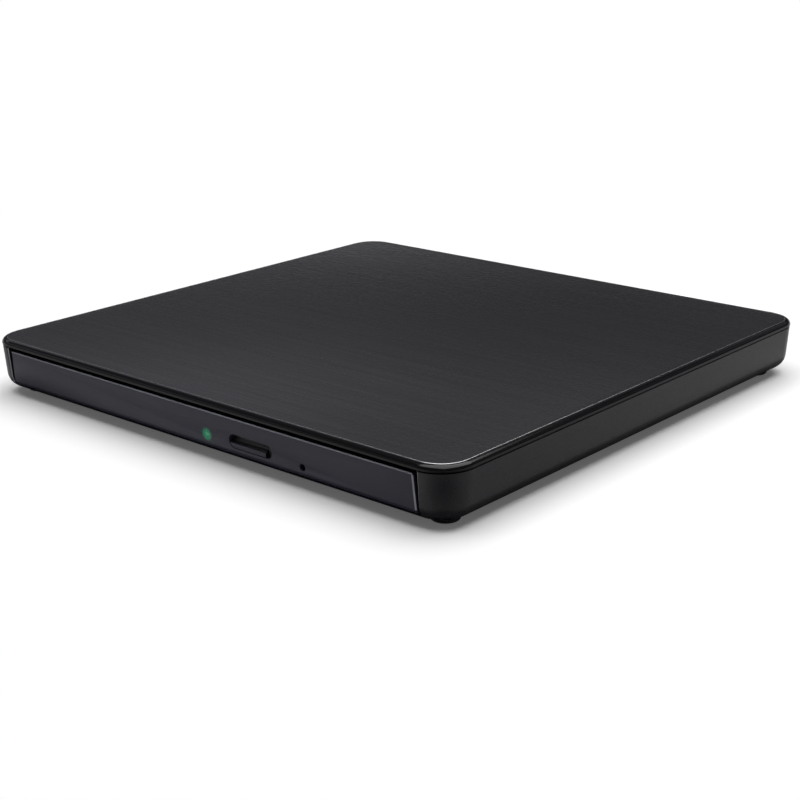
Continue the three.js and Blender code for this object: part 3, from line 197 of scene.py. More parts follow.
def soften(obj, width, segments=3, angle=32):
    """Rounds the sharp edges of a piece, unless the width is 0, and shades it smooth between them."""
    bm = bmesh.new()
    bm.from_mesh(obj.data)
    bmesh.ops.remove_doubles(bm, verts=bm.verts, dist=WELD * MM)
    bmesh.ops.dissolve_limit(bm, angle_limit=math.radians(0.5), verts=bm.verts, edges=bm.edges)
    bm.to_mesh(obj.data)
    bm.free()
    if width:
        bevel = obj.modifiers.new("edges", "BEVEL")
        bevel.width = width * MM
        bevel.segments = segments
        bevel.limit_method = "ANGLE"
        bevel.angle_limit = math.radians(angle)
        bevel.miter_outer = "MITER_ARC"
        bake(obj)
    obj.data.polygons.foreach_set("use_smooth", [True] * len(obj.data.polygons))
    obj.data.set_sharp_from_angle(angle=math.radians(SHARP_ANGLE))


def chamfer_edge(obj, x, lean, cut, push):
    """Sets the front edge at a tapered side back by push, from cut inside it; x is the side at z = 0."""
    side = math.copysign(1, x)
    slope = Vector((side, 0, -lean)).normalized()
    bm = bmesh.new()
    bm.from_mesh(obj.data)
    bmesh.ops.bisect_plane(bm, geom=bm.verts[:] + bm.edges[:] + bm.faces[:], dist=1e-7,
                           plane_co=((x - side * cut) * MM, 0, 0), plane_no=slope)
    for vert in bm.verts:
        px, py, pz = vert.co / MM
        if abs(px - x - side * lean * pz) < 0.05 and py < FRONT_EDGE_Y:
            vert.co.y += push * MM
    bm.to_mesh(obj.data)
    bm.free()


def place(obj, material, body, slot, *replaced):
    """Gives a piece its look, its body and the CAD nodes it stands for; the slot argument is not used."""
    obj.data.materials.clear()
    obj.data.materials.append(material)
    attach(obj, body)
    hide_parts(*replaced)


# Materials
class Look:
    """A material under construction, with short ways to add nodes."""

    def __init__(self, name, color, roughness, metallic=0.0, specular=0.5, coat=0.0, coat_roughness=0.1):
        self.material = bpy.data.materials.new(name)
        self.material.use_nodes = True
        self.tree = self.material.node_tree
        self.shader = self.tree.nodes["Principled BSDF"]
        self.set("Base Color", (*color, 1))
        self.set("Roughness", roughness)
        self.set("Metallic", metallic)
        self.set("Specular IOR Level", specular)
        self.set("Coat Weight", coat)
        self.set("Coat Roughness", coat_roughness)
        self.coords = None

    def set(self, socket, value):
        self.shader.inputs[socket].default_value = value

    def node(self, kind, **inputs):
        made = self.tree.nodes.new(kind)
        for key, value in inputs.items():
            self.feed(made.inputs[key.replace("_", " ")], value)
        return made

    def feed(self, socket, value):
        if isinstance(value, bpy.types.NodeSocket):
            self.tree.links.new(value, socket)
        else:
            socket.default_value = value

    def stretched(self, scale):
        if self.coords is None:
            self.coords = self.tree.nodes.new("ShaderNodeTexCoord")
        mapping = self.node("ShaderNodeMapping", Vector=self.coords.outputs["Object"])
        mapping.inputs["Scale"].default_value = scale
        return mapping.outputs["Vector"]

    def noise(self, scale, detail=3.0, stretch=(1, 1, 1), roughness=0.5):
        made = self.node("ShaderNodeTexNoise", Vector=self.stretched(stretch), Scale=scale, Detail=detail,
                         Roughness=roughness)
        return made.outputs["Fac"]

    def remap(self, value, low, high, from_low=0.3, from_high=0.7):
        made = self.node("ShaderNodeMapRange", Value=value)
        for key, number in (("From Min", from_low), ("From Max", from_high), ("To Min", low), ("To Max", high)):
            made.inputs[key].default_value = number
        return made.outputs["Result"]

    def blend(self, factor, dark, light):
        made = self.tree.nodes.new("ShaderNodeMix")
        made.data_type = "RGBA"
        self.feed(made.inputs["Factor"], factor)
        for socket, value in ((made.inputs[6], dark), (made.inputs[7], light)):
            self.feed(socket, value if isinstance(value, bpy.types.NodeSocket) else (*value, 1))
        return made.outputs[2]

    def color(self, value):
        self.feed(self.shader.inputs["Base Color"], value)

    def rough(self, value):
        self.feed(self.shader.inputs["Roughness"], value)

    def bump(self, height, distance):
        made = self.node("ShaderNodeBump", Height=height, Distance=distance * MM)
        self.feed(self.shader.inputs["Normal"], made.outputs["Normal"])


def moulded(name, color, roughness, grain=0.5, grain_height=0.01, variation=0.15, **more):
    """Moulded plastic or rubber: a fine spark-eroded grain, in colour, gloss and height."""
    look = Look(name, color, roughness, **more)
    fine = look.noise(1000 / grain, 2.0)
    broad = look.noise(60, 3.0)
    dark = [c * (1 - variation) for c in color]
    light = [c * (1 + variation) for c in color]
    look.color(look.blend(look.remap(broad, 0, 1), dark, light))
    look.rough(look.remap(fine, roughness * 0.9, min(1, roughness * 1.1)))
    look.bump(fine, grain_height)
    return look.material


def bezel_plastic():
    """The bezel's satin plastic, with a painted glow of the lamp's green light round the lens."""
    color = (0.0185, 0.0185, 0.034)
    look = Look("bezel_plastic", color, 0.4)
    fine = look.noise(4000, 2.0)
    base = look.blend(look.remap(look.noise(60, 3.0), 0, 1), [c * 0.9 for c in color], [c * 1.1 for c in color])
    away = look.node("ShaderNodeVectorMath", Vector=look.coords.outputs["Object"])
    away.operation = "DISTANCE"
    away.inputs[1].default_value = (LENS_X * MM, (wall_inset(LENS_Z) - HALF_DEPTH) * MM, LENS_Z * MM)
    look.color(base)
    # Painted glow: the plastic emits green light round the lens, fading out by 1.6 mm from it
    look.set("Emission Color", (0.03, 1.0, 0.42, 1))
    look.feed(look.shader.inputs["Emission Strength"],
              look.remap(away.outputs["Value"], 0.2, 0.0, 0.5 * MM, 1.6 * MM))
    look.rough(look.remap(fine, 0.36, 0.44))
    look.bump(fine, 0.006)
    return look.material


def metal(name, color, roughness, lines=(1, 1, 1), line_height=0.0015):
    """Rolled or drawn metal: fine lines along the rolling direction and a faint cloudiness."""
    look = Look(name, color, roughness, metallic=1.0)
    rolled = look.noise(2600, 3.0, stretch=lines)
    cloud = look.noise(45, 3.0)
    look.color(look.blend(look.remap(cloud, 0, 1), [c * 0.88 for c in color], [min(1, c * 1.06) for c in color]))
    look.rough(look.remap(rolled, roughness * 0.85, roughness * 1.15))
    look.bump(rolled, line_height)
    return look.material


def brushed_top():
    """A dark coating over fine brush lines along the width."""
    color = (0.0145, 0.0145, 0.0165)
    look = Look("brushed_top", color, 0.26)
    hair = look.noise(1.0, 4.0, stretch=(28, 5200, 1), roughness=0.65)
    streak = look.noise(1.0, 3.0, stretch=(12, 620, 1), roughness=0.6)
    both = look.node("ShaderNodeMath", Value=hair)
    both.operation = "ADD"
    look.feed(both.inputs[1], streak)
    lines = look.remap(both.outputs[0], 0, 1, 0.8, 1.25)
    look.color(look.blend(lines, [c * 0.72 for c in color], [c * 1.4 for c in color]))
    look.rough(look.remap(lines, 0.28, 0.25, 0, 1))
    look.bump(lines, 0.0008)
    return look.material


def circuit_board():
    look = Look("circuit_board", (0.02, 0.09, 0.045), 0.35, coat=0.3)
    grid = look.node("ShaderNodeTexBrick", Vector=look.stretched((1, 1, 1)), Scale=620.0)
    grid.inputs["Color1"].default_value = (0, 0, 0, 1)
    grid.inputs["Color2"].default_value = (1, 1, 1, 1)
    grid.inputs["Mortar"].default_value = (0.5, 0.5, 0.5, 1)
    look.color(look.blend(grid.outputs["Fac"], (0.018, 0.085, 0.042), (0.05, 0.17, 0.08)))
    look.bump(look.noise(2200, 2.0), 0.008)
    return look.material


def lamp_lens():
    look = Look("lamp_lens", (0.03, 0.22, 0.10), 0.22, coat=0.5)
    look.color(look.blend(look.remap(look.noise(900, 2.0), 0, 1), (0.025, 0.20, 0.09), (0.045, 0.30, 0.14)))
    look.set("Emission Color", (0.04, 0.8, 0.36, 1))
    look.set("Emission Strength", 0.06)
    look.bump(look.noise(1500, 2.0), 0.006)
    return look.material


def cable_film():
    look = Look("flat_cable_film", (0.55, 0.42, 0.27), 0.3, coat=0.4)
    wave = look.node("ShaderNodeTexWave", Vector=look.stretched((1, 1, 1)), Scale=160.0)
    look.color(look.blend(wave.outputs["Fac"], (0.42, 0.28, 0.15), (0.66, 0.56, 0.42)))
    look.bump(wave.outputs["Fac"], 0.02)
    return look.material


def glass():
    look = Look("lens_glass", (0.55, 0.66, 0.85), 0.03, coat=0.6, coat_roughness=0.03)
    look.set("Transmission Weight", 0.75)
    look.set("IOR", 1.5)
    look.color(look.blend(look.remap(look.noise(700, 2.0), 0, 1), (0.5, 0.62, 0.86), (0.66, 0.58, 0.84)))
    return look.material


LOOKS = {
    "brushed_top": brushed_top(),
    "case_plastic": moulded("case_plastic", (0.0098, 0.0098, 0.0124), 0.30, grain=0.4, grain_height=0.004),
    "bezel_plastic": bezel_plastic(),
    # Painted shade: the button's plastic is far darker than the bezel's so that its finger recess reads as deep shadow
    "button_plastic": moulded("button_plastic", (0.006, 0.006, 0.007), 0.4, grain=0.25, grain_height=0.004),
    "lamp_lens": lamp_lens(),
    "foot_rubber": moulded("foot_rubber", (0.012, 0.012, 0.013), 0.75, grain=0.35, grain_height=0.03),
    "pressed_steel": metal("pressed_steel", (0.29, 0.293, 0.298), 0.42, lines=(0.04, 1, 1)),
    "dark_steel": metal("dark_steel", (0.27, 0.275, 0.285), 0.42, lines=(1, 0.05, 1)),
    "bright_nickel": metal("bright_nickel", (0.72, 0.70, 0.66), 0.18, lines=(1, 1, 0.1), line_height=0.001),
    "tray_plastic": moulded("tray_plastic", (0.016, 0.016, 0.0175), 0.5, grain=0.3, grain_height=0.012),
    "circuit_board": circuit_board(),
    "chip_resin": moulded("chip_resin", (0.014, 0.014, 0.015), 0.55, grain=0.2, grain_height=0.01),
    "white_polymer": moulded("white_polymer", (0.66, 0.63, 0.54), 0.38, grain=0.4, grain_height=0.006, variation=0.05),
    "flat_cable_film": cable_film(),
    "pickup_alloy": metal("pickup_alloy", (0.17, 0.173, 0.178), 0.5, line_height=0.02),
    "lens_glass": glass(),
    "coil_copper": metal("coil_copper", (0.50, 0.20, 0.08), 0.3, lines=(1, 1, 12)),
}
# Painted highlight: a light grey for the edge bevels of the bezel, the case's front corners and the button's lip, in
# place of the bright lines that light draws there
PAINTED_EDGE_HIGHLIGHT = moulded("painted_edge_highlight", (0.27, 0.28, 0.305), 0.34, grain=0.25, grain_height=0.002)
PLATE_EDGE = metal("plate_edge", (0.44, 0.44, 0.45), 0.29)
GLOSS_BAND = moulded("gloss_band", (0.0035, 0.0035, 0.004), 0.14, grain=0.6, grain_height=0.001, specular=0.32)

slot_of = {s["node"]: s["material_slot"] for s in frame["record"]["subparts"]}
for name, node in nodes.items():
    node.data.materials.clear()
    node.data.materials.append(LOOKS[slot_of[name]])


# Fine edges on the CAD pieces that stay
def by_angle():
    """Geometry nodes that shade a mesh smooth but for its sharp edges."""
    group = bpy.data.node_groups.new("smooth_by_angle", "GeometryNodeTree")
    group.interface.new_socket("Geometry", in_out="INPUT", socket_type="NodeSocketGeometry")
    group.interface.new_socket("Geometry", in_out="OUTPUT", socket_type="NodeSocketGeometry")
    start, end = group.nodes.new("NodeGroupInput"), group.nodes.new("NodeGroupOutput")
    faces, edges = group.nodes.new("GeometryNodeSetShadeSmooth"), group.nodes.new("GeometryNodeSetShadeSmooth")
    edges.domain = "EDGE"
    angle = group.nodes.new("GeometryNodeInputMeshEdgeAngle")
    gentle = group.nodes.new("FunctionNodeCompare")
    gentle.operation = "LESS_THAN"
    gentle.inputs["B"].default_value = math.radians(CAD_SHARP_ANGLE)
    group.links.new(angle.outputs["Unsigned Angle"], gentle.inputs["A"])
    group.links.new(start.outputs[0], faces.inputs["Geometry"])
    group.links.new(faces.outputs[0], edges.inputs["Geometry"])
    group.links.new(gentle.outputs[0], edges.inputs["Shade Smooth"])
    group.links.new(edges.outputs[0], end.inputs[0])
    return group


SMOOTH = by_angle()
EDGE_WIDTHS = {"disc_tray": 0.15, "lower_chassis": 0.05, "chassis_cover": 0.05, "deck_cover": 0.05}
USUAL_EDGE = 0.08


def refine(node, width):
    """Joins the triangles to plain faces, rounds the edges slightly and shades smooth between them."""
    weld = node.modifiers.new("weld", "WELD")
    weld.merge_threshold = WELD * MM
    plain = node.modifiers.new("plain", "DECIMATE")
    plain.decimate_type = "DISSOLVE"
    plain.angle_limit = math.radians(1)
    edges = node.modifiers.new("edges", "BEVEL")
    edges.width, edges.segments = width * MM, 2
    edges.limit_method, edges.angle_limit = "ANGLE", math.radians(CAD_BEVEL_ANGLE)
    node.modifiers.new("smooth", "NODES").node_group = SMOOTH
    flat = node.modifiers.new("flat", "WEIGHTED_NORMAL")
    flat.keep_sharp = True


# Case: top cover
def top_cover():
    """A rim turned as a quarter round with a thin plate set in it, a lip inside and four screw posts."""
    arc_low, arc_top, arc_run, arc_steps = 12.75, 13.88, 1.26, 14
    lip_bottom, lip_bite = WALL_TOP - 1.1, PLATE_BOTTOM + 0.55
    rings = [(GROOVE_DEPTH, WALL_TOP), (GROOVE_DEPTH, BAND_BOTTOM), (0.1, BAND_BOTTOM), (0.03, BAND_BOTTOM + 0.03)]
    for step in range(arc_steps + 1):
        angle = math.pi / 2 * step / arc_steps
        rings.append((arc_run * (1 - math.cos(angle)), arc_low + (arc_top - arc_low) * math.sin(angle)))
    rings += [(arc_run + 0.02, arc_top - 0.04), (arc_run + 0.06, arc_top - 0.04), (arc_run + 0.07, arc_top + 0.01),
              (arc_run + 0.19, PLATE_TOP - 0.01), (arc_run + 0.24, PLATE_TOP)]
    inner = wall_inset(WALL_TOP) + WALL
    cover = loft("top_cover_shell", rings)
    combine(cover, loft("hollow", [(inner, WALL_TOP - 1), (inner, PLATE_BOTTOM)]))
    lip = loft("lip", [(inner + 0.3, lip_bottom), (inner + 0.3, lip_bite)])
    combine(lip, loft("lip_hollow", [(inner + 1.1, lip_bottom - 1), (inner + 1.1, PLATE_BOTTOM)]))
    combine(lip, block("bay", (-HALF_WIDTH, -HALF_DEPTH, lip_bottom - 1), (HALF_WIDTH, CHASSIS_FRONT, PLATE_BOTTOM)))
    combine(cover, lip, "UNION")
    for x, y in BOSSES:
        combine(cover, stack("post", [circle(x, y, BOSS_R)] * 2, [POST_BOTTOM, lip_bite]), "UNION")
        combine(cover, stack("pilot", [circle(x, y, PILOT_R)] * 2, [POST_BOTTOM - 1.3, 11.9]))
    soften(cover, 0)
    mesh = cover.data
    place(cover, GLOSS_BAND, "case", "brushed_top", "top_cover")
    mesh.materials.append(LOOKS["brushed_top"])
    mesh.materials.append(PLATE_EDGE)
    for face in mesh.polygons:
        if face.center.z > (arc_top + 0.005) * MM:
            face.material_index = 1 if face.normal.z > 0.98 else 2


# Case: bottom case
def bezel_outline():
    wide = BEZEL_HALF + BEZEL_TAPER
    return softened([(-wide, BEZEL_BOTTOM), (wide, BEZEL_BOTTOM), (BEZEL_HALF, BEZEL_TOP), (-BEZEL_HALF, BEZEL_TOP)],
                    0.5)


def rounded_box_outline(x0, x1, y0, y1, bend):
    return softened([(x0, y0), (x1, y0), (x1, y1), (x0, y1)], bend)


def bottom_case():
    """A tub with drafted walls on a rolled lower edge, open for the bezel, the socket and the screws."""
    bend_steps = 18
    bend_z = STANDOFF + BOTTOM_R
    bend_inset = wall_inset(bend_z) + BOTTOM_R
    rings = []
    for step in range(bend_steps + 1):
        angle = math.pi / 2 * step / bend_steps
        rings.append((bend_inset - BOTTOM_R * math.sin(angle), bend_z - BOTTOM_R * math.cos(angle)))
    for back, drop in ((0.0, 0.12), (0.03, 0.03), (0.12, 0.0)):
        rings.append((wall_inset(WALL_TOP - drop) + back, WALL_TOP - drop))
    inner_bend = BOTTOM_R - WALL
    tub = loft("bottom_case_shell", rings)
    combine(tub, loft("hollow", [
        (wall_inset(FLOOR_TOP) + WALL + inner_bend, FLOOR_TOP),
        (wall_inset(FLOOR_TOP + inner_bend) + WALL, FLOOR_TOP + inner_bend),
        (wall_inset(WALL_TOP) + WALL, WALL_TOP), (wall_inset(WALL_TOP) + WALL, WALL_TOP + 1)]))
    for sx in (-1, 1):
        x = sorted((sx * BAY_HALF, sx * (BAY_HALF + WALL)))
        rib = block("rib", (x[0], -HALF_DEPTH + DRAFT_RUN + WALL, STANDOFF + WALL), (x[1], CHASSIS_FRONT, WALL_TOP))
        combine(rib, loft("outer", rings), "INTERSECT")
        combine(tub, rib, "UNION")
    combine(tub, stack("front", [rounded_box_outline(-BAY_HALF, BAY_HALF, LIP_TOP, WALL_TOP + 1.5, 0.5)] * 2,
                       [-BEZEL_BACK - 0.3, HALF_DEPTH + 1], along_y))
    combine(tub, block("bay", (-BAY_FLOOR_HALF, BEZEL_BACK, FLOOR_TOP), (BAY_FLOOR_HALF, CHASSIS_FRONT, WALL_TOP + 1)))
    for sx in (-1, 1):
        chamfer_edge(tub, sx * BAY_HALF, 0, -0.25, 0.15)
    mouth = rounded_box_outline(SOCKET_LEFT, SOCKET_RIGHT, SOCKET_LOW, SOCKET_HIGH, 0.6)
    combine(tub, stack("mouth", [mouth] * 2, [-HALF_DEPTH - 1, -CHASSIS_BACK], along_y))
    for x, y in BOSSES:
        foot_x = math.copysign(FOOT_X, x)
        combine(tub, stack("boss", [circle(x, y, BOSS_R)] * 2, [STANDOFF + 0.45, BOSS_TOP]), "UNION")
        combine(tub, stack("pocket", [circle(foot_x, y, FOOT_R + 0.15, FINE_ROUND)] * 2, [0, STANDOFF + 0.5]))
        combine(tub, stack("head", [circle(x, y, SCREW_HEAD_R)] * 2, [STANDOFF, STANDOFF + 1.5]))
        combine(tub, stack("shank", [circle(x, y, SHANK_R)] * 2, [STANDOFF + 0.5, BOSS_TOP + 1]))
    soften(tub, 0)
    place(tub, LOOKS["case_plastic"], "case", "case_plastic", "bottom_case")
    tub.data.materials.append(PAINTED_EDGE_HIGHLIGHT)
    # Painted highlight on the chamfer at the case's front corners
    for face in tub.data.polygons:
        x, y, _ = face.center / MM
        on_edge = BAY_HALF < abs(x) < BAY_HALF + 0.25 and y < FRONT_EDGE_Y and face.normal.x * x < -0.2 * abs(x)
        face.material_index = 1 if on_edge else 0


# Front bezel, eject button, lens
def front_bezel():
    """The tray's front, which follows the drafted wall, with the button's slot, the lamp's hole and the pinhole."""
    panel = stack("front_bezel_panel", [bezel_outline()] * 2, [-BEZEL_BACK, HALF_DEPTH + 1], along_y)
    edge_height, edge_steps = 0.32, 6
    bevel_top, edge_z = BEZEL_BOTTOM + 1.0, BEZEL_TOP - edge_height
    rings = [(wall_inset(BEZEL_BOTTOM) + 0.65, BEZEL_BOTTOM), (wall_inset(bevel_top) + 0.05, bevel_top - 0.1),
             (wall_inset(bevel_top), bevel_top + 0.08), (wall_inset(edge_z), edge_z)]
    for step in range(1, edge_steps + 1):
        angle = math.pi / 2 * step / edge_steps
        rings.append((wall_inset(BEZEL_TOP) + 0.3 * (1 - math.cos(angle)), edge_z + edge_height * math.sin(angle)))
    combine(panel, loft("face", rings), "INTERSECT")
    span = [-BEZEL_BACK - 1, HALF_DEPTH + 1]
    combine(panel, stack("slot", [pill(BUTTON_X, BUTTON_Z, SLOT_HALF, SLOT_R)] * 2, span, along_y))
    combine(panel, stack("lamp_hole", [circle(LENS_X, LENS_Z, LAMP_HOLE_R)] * 2, span, along_y))
    combine(panel, stack("pinhole", [circle(PINHOLE_X, PINHOLE_Z, PINHOLE_R)] * 2, span, along_y))
    lean = -BEZEL_TAPER / (BEZEL_TOP - BEZEL_BOTTOM)
    foot_half = BEZEL_HALF - lean * BEZEL_TOP
    for sx in (-1, 1):
        chamfer_edge(panel, sx * foot_half, lean, 0.3, 0.2)
    soften(panel, 0.05, segments=2, angle=50)
    place(panel, LOOKS["bezel_plastic"], "tray", "bezel_plastic", "front_bezel")
    panel.data.materials.append(PAINTED_EDGE_HIGHLIGHT)
    # Painted highlight on the bezel's rounded top edge and its side chamfers
    for face in panel.data.polygons:
        x, _, z = face.center / MM
        side = BEZEL_HALF + BEZEL_TAPER * (BEZEL_TOP - z) / (BEZEL_TOP - BEZEL_BOTTOM)
        on_top = z > edge_z + 0.02 and -0.95 < face.normal.y < -0.25
        on_side = abs(x) > side - 0.29 and -0.97 < face.normal.y < -0.3 and z > BEZEL_BOTTOM + 0.5
        face.material_index = 1 if on_top or on_side else 0


def eject_button():
    """A cap with a deep finger recess over a flush lip, which stops short of the right end."""
    face_y = -HALF_DEPTH + wall_inset(BUTTON_Z) + 0.12
    clearance, overlap, end_x, reach = 0.15, 0.2, BUTTON_X + 4.3, 8
    cap_outline = pill(BUTTON_X, BUTTON_Z, SLOT_HALF - clearance, SLOT_R - clearance)
    flange_outline = pill(BUTTON_X, BUTTON_Z, SLOT_HALF + overlap, SLOT_R + overlap)
    cap = stack("eject_button_cap", [cap_outline] * 2, [-BEZEL_BACK - 0.3, -face_y], along_y)
    scoop = [(face_y - 1.0, -0.55), (face_y + 0.15, -0.5), (face_y + 0.75, -0.1), (face_y + 1.15, 0.6),
             (face_y + 1.25, 1.3), (face_y + 1.25, 2.5), (face_y - 1.0, 2.5)]
    scoop = softened([(y, BUTTON_Z + z) for y, z in scoop], 0.18)
    combine(cap, stack("scoop", [scoop] * 2, [BUTTON_X - reach, BUTTON_X + reach], along_x))
    low, high = BUTTON_Z - 2, BUTTON_Z + 2
    end = [(end_x + 0.2, low), (BUTTON_X + reach, low), (BUTTON_X + reach, high), (end_x, high)]
    combine(cap, stack("end", [end] * 2, [-face_y - 0.95, -face_y + 1], along_y))
    soften(cap, 0.1, segments=3, angle=40)
    combine(cap, stack("flange", [flange_outline] * 2, [-BEZEL_BACK - 0.6, -BEZEL_BACK], along_y), "UNION")
    stem_x, stem_z, stem_length = 1.2, 0.6, 2.0
    combine(cap, block("stem", (BUTTON_X - stem_x, BEZEL_BACK, BUTTON_Z - stem_z),
                       (BUTTON_X + stem_x, BEZEL_BACK + stem_length, BUTTON_Z + stem_z)), "UNION")
    soften(cap, 0)
    place(cap, LOOKS["button_plastic"], "eject_button", "button_plastic", "eject_button")
    cap.data.materials.append(LOOKS["bezel_plastic"])
    cap.data.materials.append(PAINTED_EDGE_HIGHLIGHT)
    # Painted shade and highlight: faces at the cap's front take the bezel's plastic, so the near-black button plastic
    # shows only in the finger recess as painted shade; the lip's right end takes the painted edge highlight as a glint
    for face in cap.data.polygons:
        painted_glint_end = face.center.x > (end_x - 0.05) * MM and face.normal.y < -0.2 and face.normal.x > 0.2
        if face.center.y < (face_y + 0.25) * MM:
            face.material_index = 2 if painted_glint_end else 1


def activity_lens():
    """A light pipe with a flange behind the bezel and a domed end in the lamp's hole."""
    face_y = -HALF_DEPTH + wall_inset(LENS_Z) - 0.05
    steps, dome = 6, 0.25
    angles = [math.pi / 2 * k / steps for k in range(steps, 0, -1)]
    outlines = [circle(LENS_X, LENS_Z, LENS_FLANGE_R)] * 2 + [circle(LENS_X, LENS_Z, LENS_R)]
    outlines += [circle(LENS_X, LENS_Z, LENS_R * math.sin(angle)) for angle in angles]
    levels = [-BEZEL_BACK - 0.5, -BEZEL_BACK, -BEZEL_BACK + 0.01]
    levels += [-face_y - dome * (1 - math.cos(angle)) for angle in angles]
    pipe = stack("activity_lens_pipe", outlines, levels, along_y)
    soften(pipe, 0)
    place(pipe, LOOKS["lamp_lens"], "tray", "lamp_lens", "activity_lens")


def rubber_foot(end, side, x, y):
    """A pad with a rounded rim, seated in its pocket."""
    steps = 8
    outlines, heights = [], []
    for step in range(steps + 1):
        angle = math.pi / 2 * step / steps
        outlines.append(circle(x, y, FOOT_R - FOOT_ROUND * (1 - math.sin(angle)), FINE_ROUND))
        heights.append(FOOT_ROUND * (1 - math.cos(angle)))
    outlines.append(outlines[-1])
    heights.append(STANDOFF + 0.5)
    foot = stack(f"foot_pad_{end}_{side}", outlines, heights)
    soften(foot, 0)
    place(foot, LOOKS["foot_rubber"], "case", "foot_rubber", f"foot_{end}_{side}")


# Drive unit: it lies turned by 225 degrees about the spindle
def in_unit(p):
    u, v, z = p
    half_root = math.sqrt(0.5)
    return (half_root * (v - u), SPINDLE_Y - half_root * (u + v), z)


def turned(name, profile, seat=in_unit, steps=96):
    """A solid of revolution about the spindle through (radius, height), bottom first."""
    return stack(name, [circle(0, 0, radius, steps) for radius, _ in profile], [z for _, z in profile], seat)


def turntable():
    """A platform with two turned grooves, and a rounded hub with a ringed cap and three windows."""
    base, face, cap = PLATFORM_BOTTOM, PLATFORM_BOTTOM + 0.5, PLATFORM_BOTTOM + 2.4
    shaft_r, rim_r, hub_round, steps = 1.2, RING_OUTER_R, 0.7, 8
    profile = [(shaft_r, base - 3.4), (shaft_r, base), (rim_r - 0.15, base), (rim_r, base + 0.1),
               (rim_r, base + 0.3), (RING_SEAT_R, base + 0.3), (RING_SEAT_R, face)]
    for outer in (9.3, 8.6):
        profile += [(outer, face), (outer - 0.05, face - 0.07), (outer - 0.2, face - 0.07), (outer - 0.25, face)]
    profile += [(7.6, face), (7.42, face + 0.06), (7.35, face + 0.2)]
    for step in range(steps + 1):
        angle = math.pi / 2 * step / steps
        profile.append((HUB_EDGE_R + hub_round * math.cos(angle), cap - hub_round + hub_round * math.sin(angle)))
    profile += [(5.3, cap), (5.2, cap - 0.12), (4.75, cap - 0.12), (4.65, cap), (2.1, cap), (1.85, cap - 0.25),
                (1.0, cap - 0.25), (0.85, cap - 0.1), (0.1, cap - 0.1)]
    table = turned("turntable_hub", profile)
    opening = [(WINDOW_START, -WINDOW_HALF), (WINDOW_END, -WINDOW_HALF), (WINDOW_END, WINDOW_HALF),
               (WINDOW_START, WINDOW_HALF)]
    for third in range(3):
        turn = 2 * math.pi * third / 3

        def window(p):
            u = p[0] * math.cos(turn) - p[1] * math.sin(turn)
            v = p[0] * math.sin(turn) + p[1] * math.cos(turn)
            return in_unit((u, v, p[2]))
        combine(table, stack("window", [opening] * 2, [face + 0.05, face + 1.55], window))
    soften(table, 0)
    place(table, LOOKS["tray_plastic"], "turntable", "tray_plastic", "turntable")


def turntable_ring():
    """The disc rests on this rubber ring, which has three shallow grooves."""
    low, top = PLATFORM_BOTTOM + 0.3, PLATFORM_BOTTOM + 0.65
    profile = [(RING_OUTER_R, low), (RING_OUTER_R, top - 0.1), (RING_OUTER_R - 0.1, top)]
    for outer in (12.3, 11.6, 10.9):
        profile += [(outer, top), (outer - 0.06, top - 0.08), (outer - 0.24, top - 0.08), (outer - 0.3, top)]
    profile += [(RING_INNER_R + 0.1, top), (RING_INNER_R, top - 0.06)]
    ring = turned("turntable_ring_pad", profile)
    combine(ring, turned("eye", [(RING_INNER_R, low - 1), (RING_INNER_R, top + 1)]))
    soften(ring, 0)
    place(ring, LOOKS["foot_rubber"], "turntable", "foot_rubber", "turntable_ring")


def lens_holder():
    """The holder of the objective lens: a collar round the lens between the bars over its two coils."""
    low, top = 6.9, 8.4
    half_u, half_v, collar_r, seat_r = 4.2, 5.4, 3.0, 1.9

    def at_lens(p):
        return in_unit((p[0] + LENS_U, p[1], p[2]))
    body = stack("lens_holder_body", [rounded_ring(half_u, half_v, 1.0, 8)] * 2, [low, top - 0.3], at_lens)
    collar = stack("collar", [circle(0, 0, collar_r, FINE_ROUND)] * 2, [low + 0.2, top], at_lens)
    combine(body, collar, "UNION")
    for side in (-1, 1):
        v0, v1 = sorted((side * (half_v - 1.5), side * (half_v - 0.3)))
        u1 = half_u - 0.8
        bar = [(-u1, v0), (u1, v0), (u1, v1), (-u1, v1)]
        combine(body, stack("bar", [softened(bar, 0.4)] * 2, [low + 0.2, top - 0.05], at_lens), "UNION")
    combine(body, stack("seat", [circle(0, 0, seat_r, FINE_ROUND)] * 2, [top - 1.2, top + 1], at_lens))
    soften(body, 0.12, segments=2)
    place(body, LOOKS["tray_plastic"], "lens", "tray_plastic", "lens_holder")


top_cover()
bottom_case()
front_bezel()
eject_button()
activity_lens()
turntable()
turntable_ring()
lens_holder()
for end, sy in (("front", -1), ("rear", 1)):
    for side, sx in (("left", -1), ("right", 1)):
        rubber_foot(end, side, sx * FOOT_X, sy * BOSS_Y)
REPLACED = {"top_cover", "bottom_case", "front_bezel", "eject_button", "activity_lens", "turntable", "turntable_ring",
            "lens_holder"}
for name, node in nodes.items():
    if name not in REPLACED and not name.startswith("foot_"):
        refine(node, EDGE_WIDTHS.get(name, USUAL_EDGE))

# Floor, camera and light, in metres
FLOOR_HALF = 4.0
# A spot before the front right corner, round which the floor mirrors darkest: a painted darkening of the reflection in
# the glossy walls
DARK_SPOT = (0.098, -0.092, 0)
FLOOR_TONE, WHITE = 0.72, 1.0
# Within this ring the floor shows the object's shadow, and beyond it fades to white
FADE = (0.1, 0.3, 0.09, 1.0)
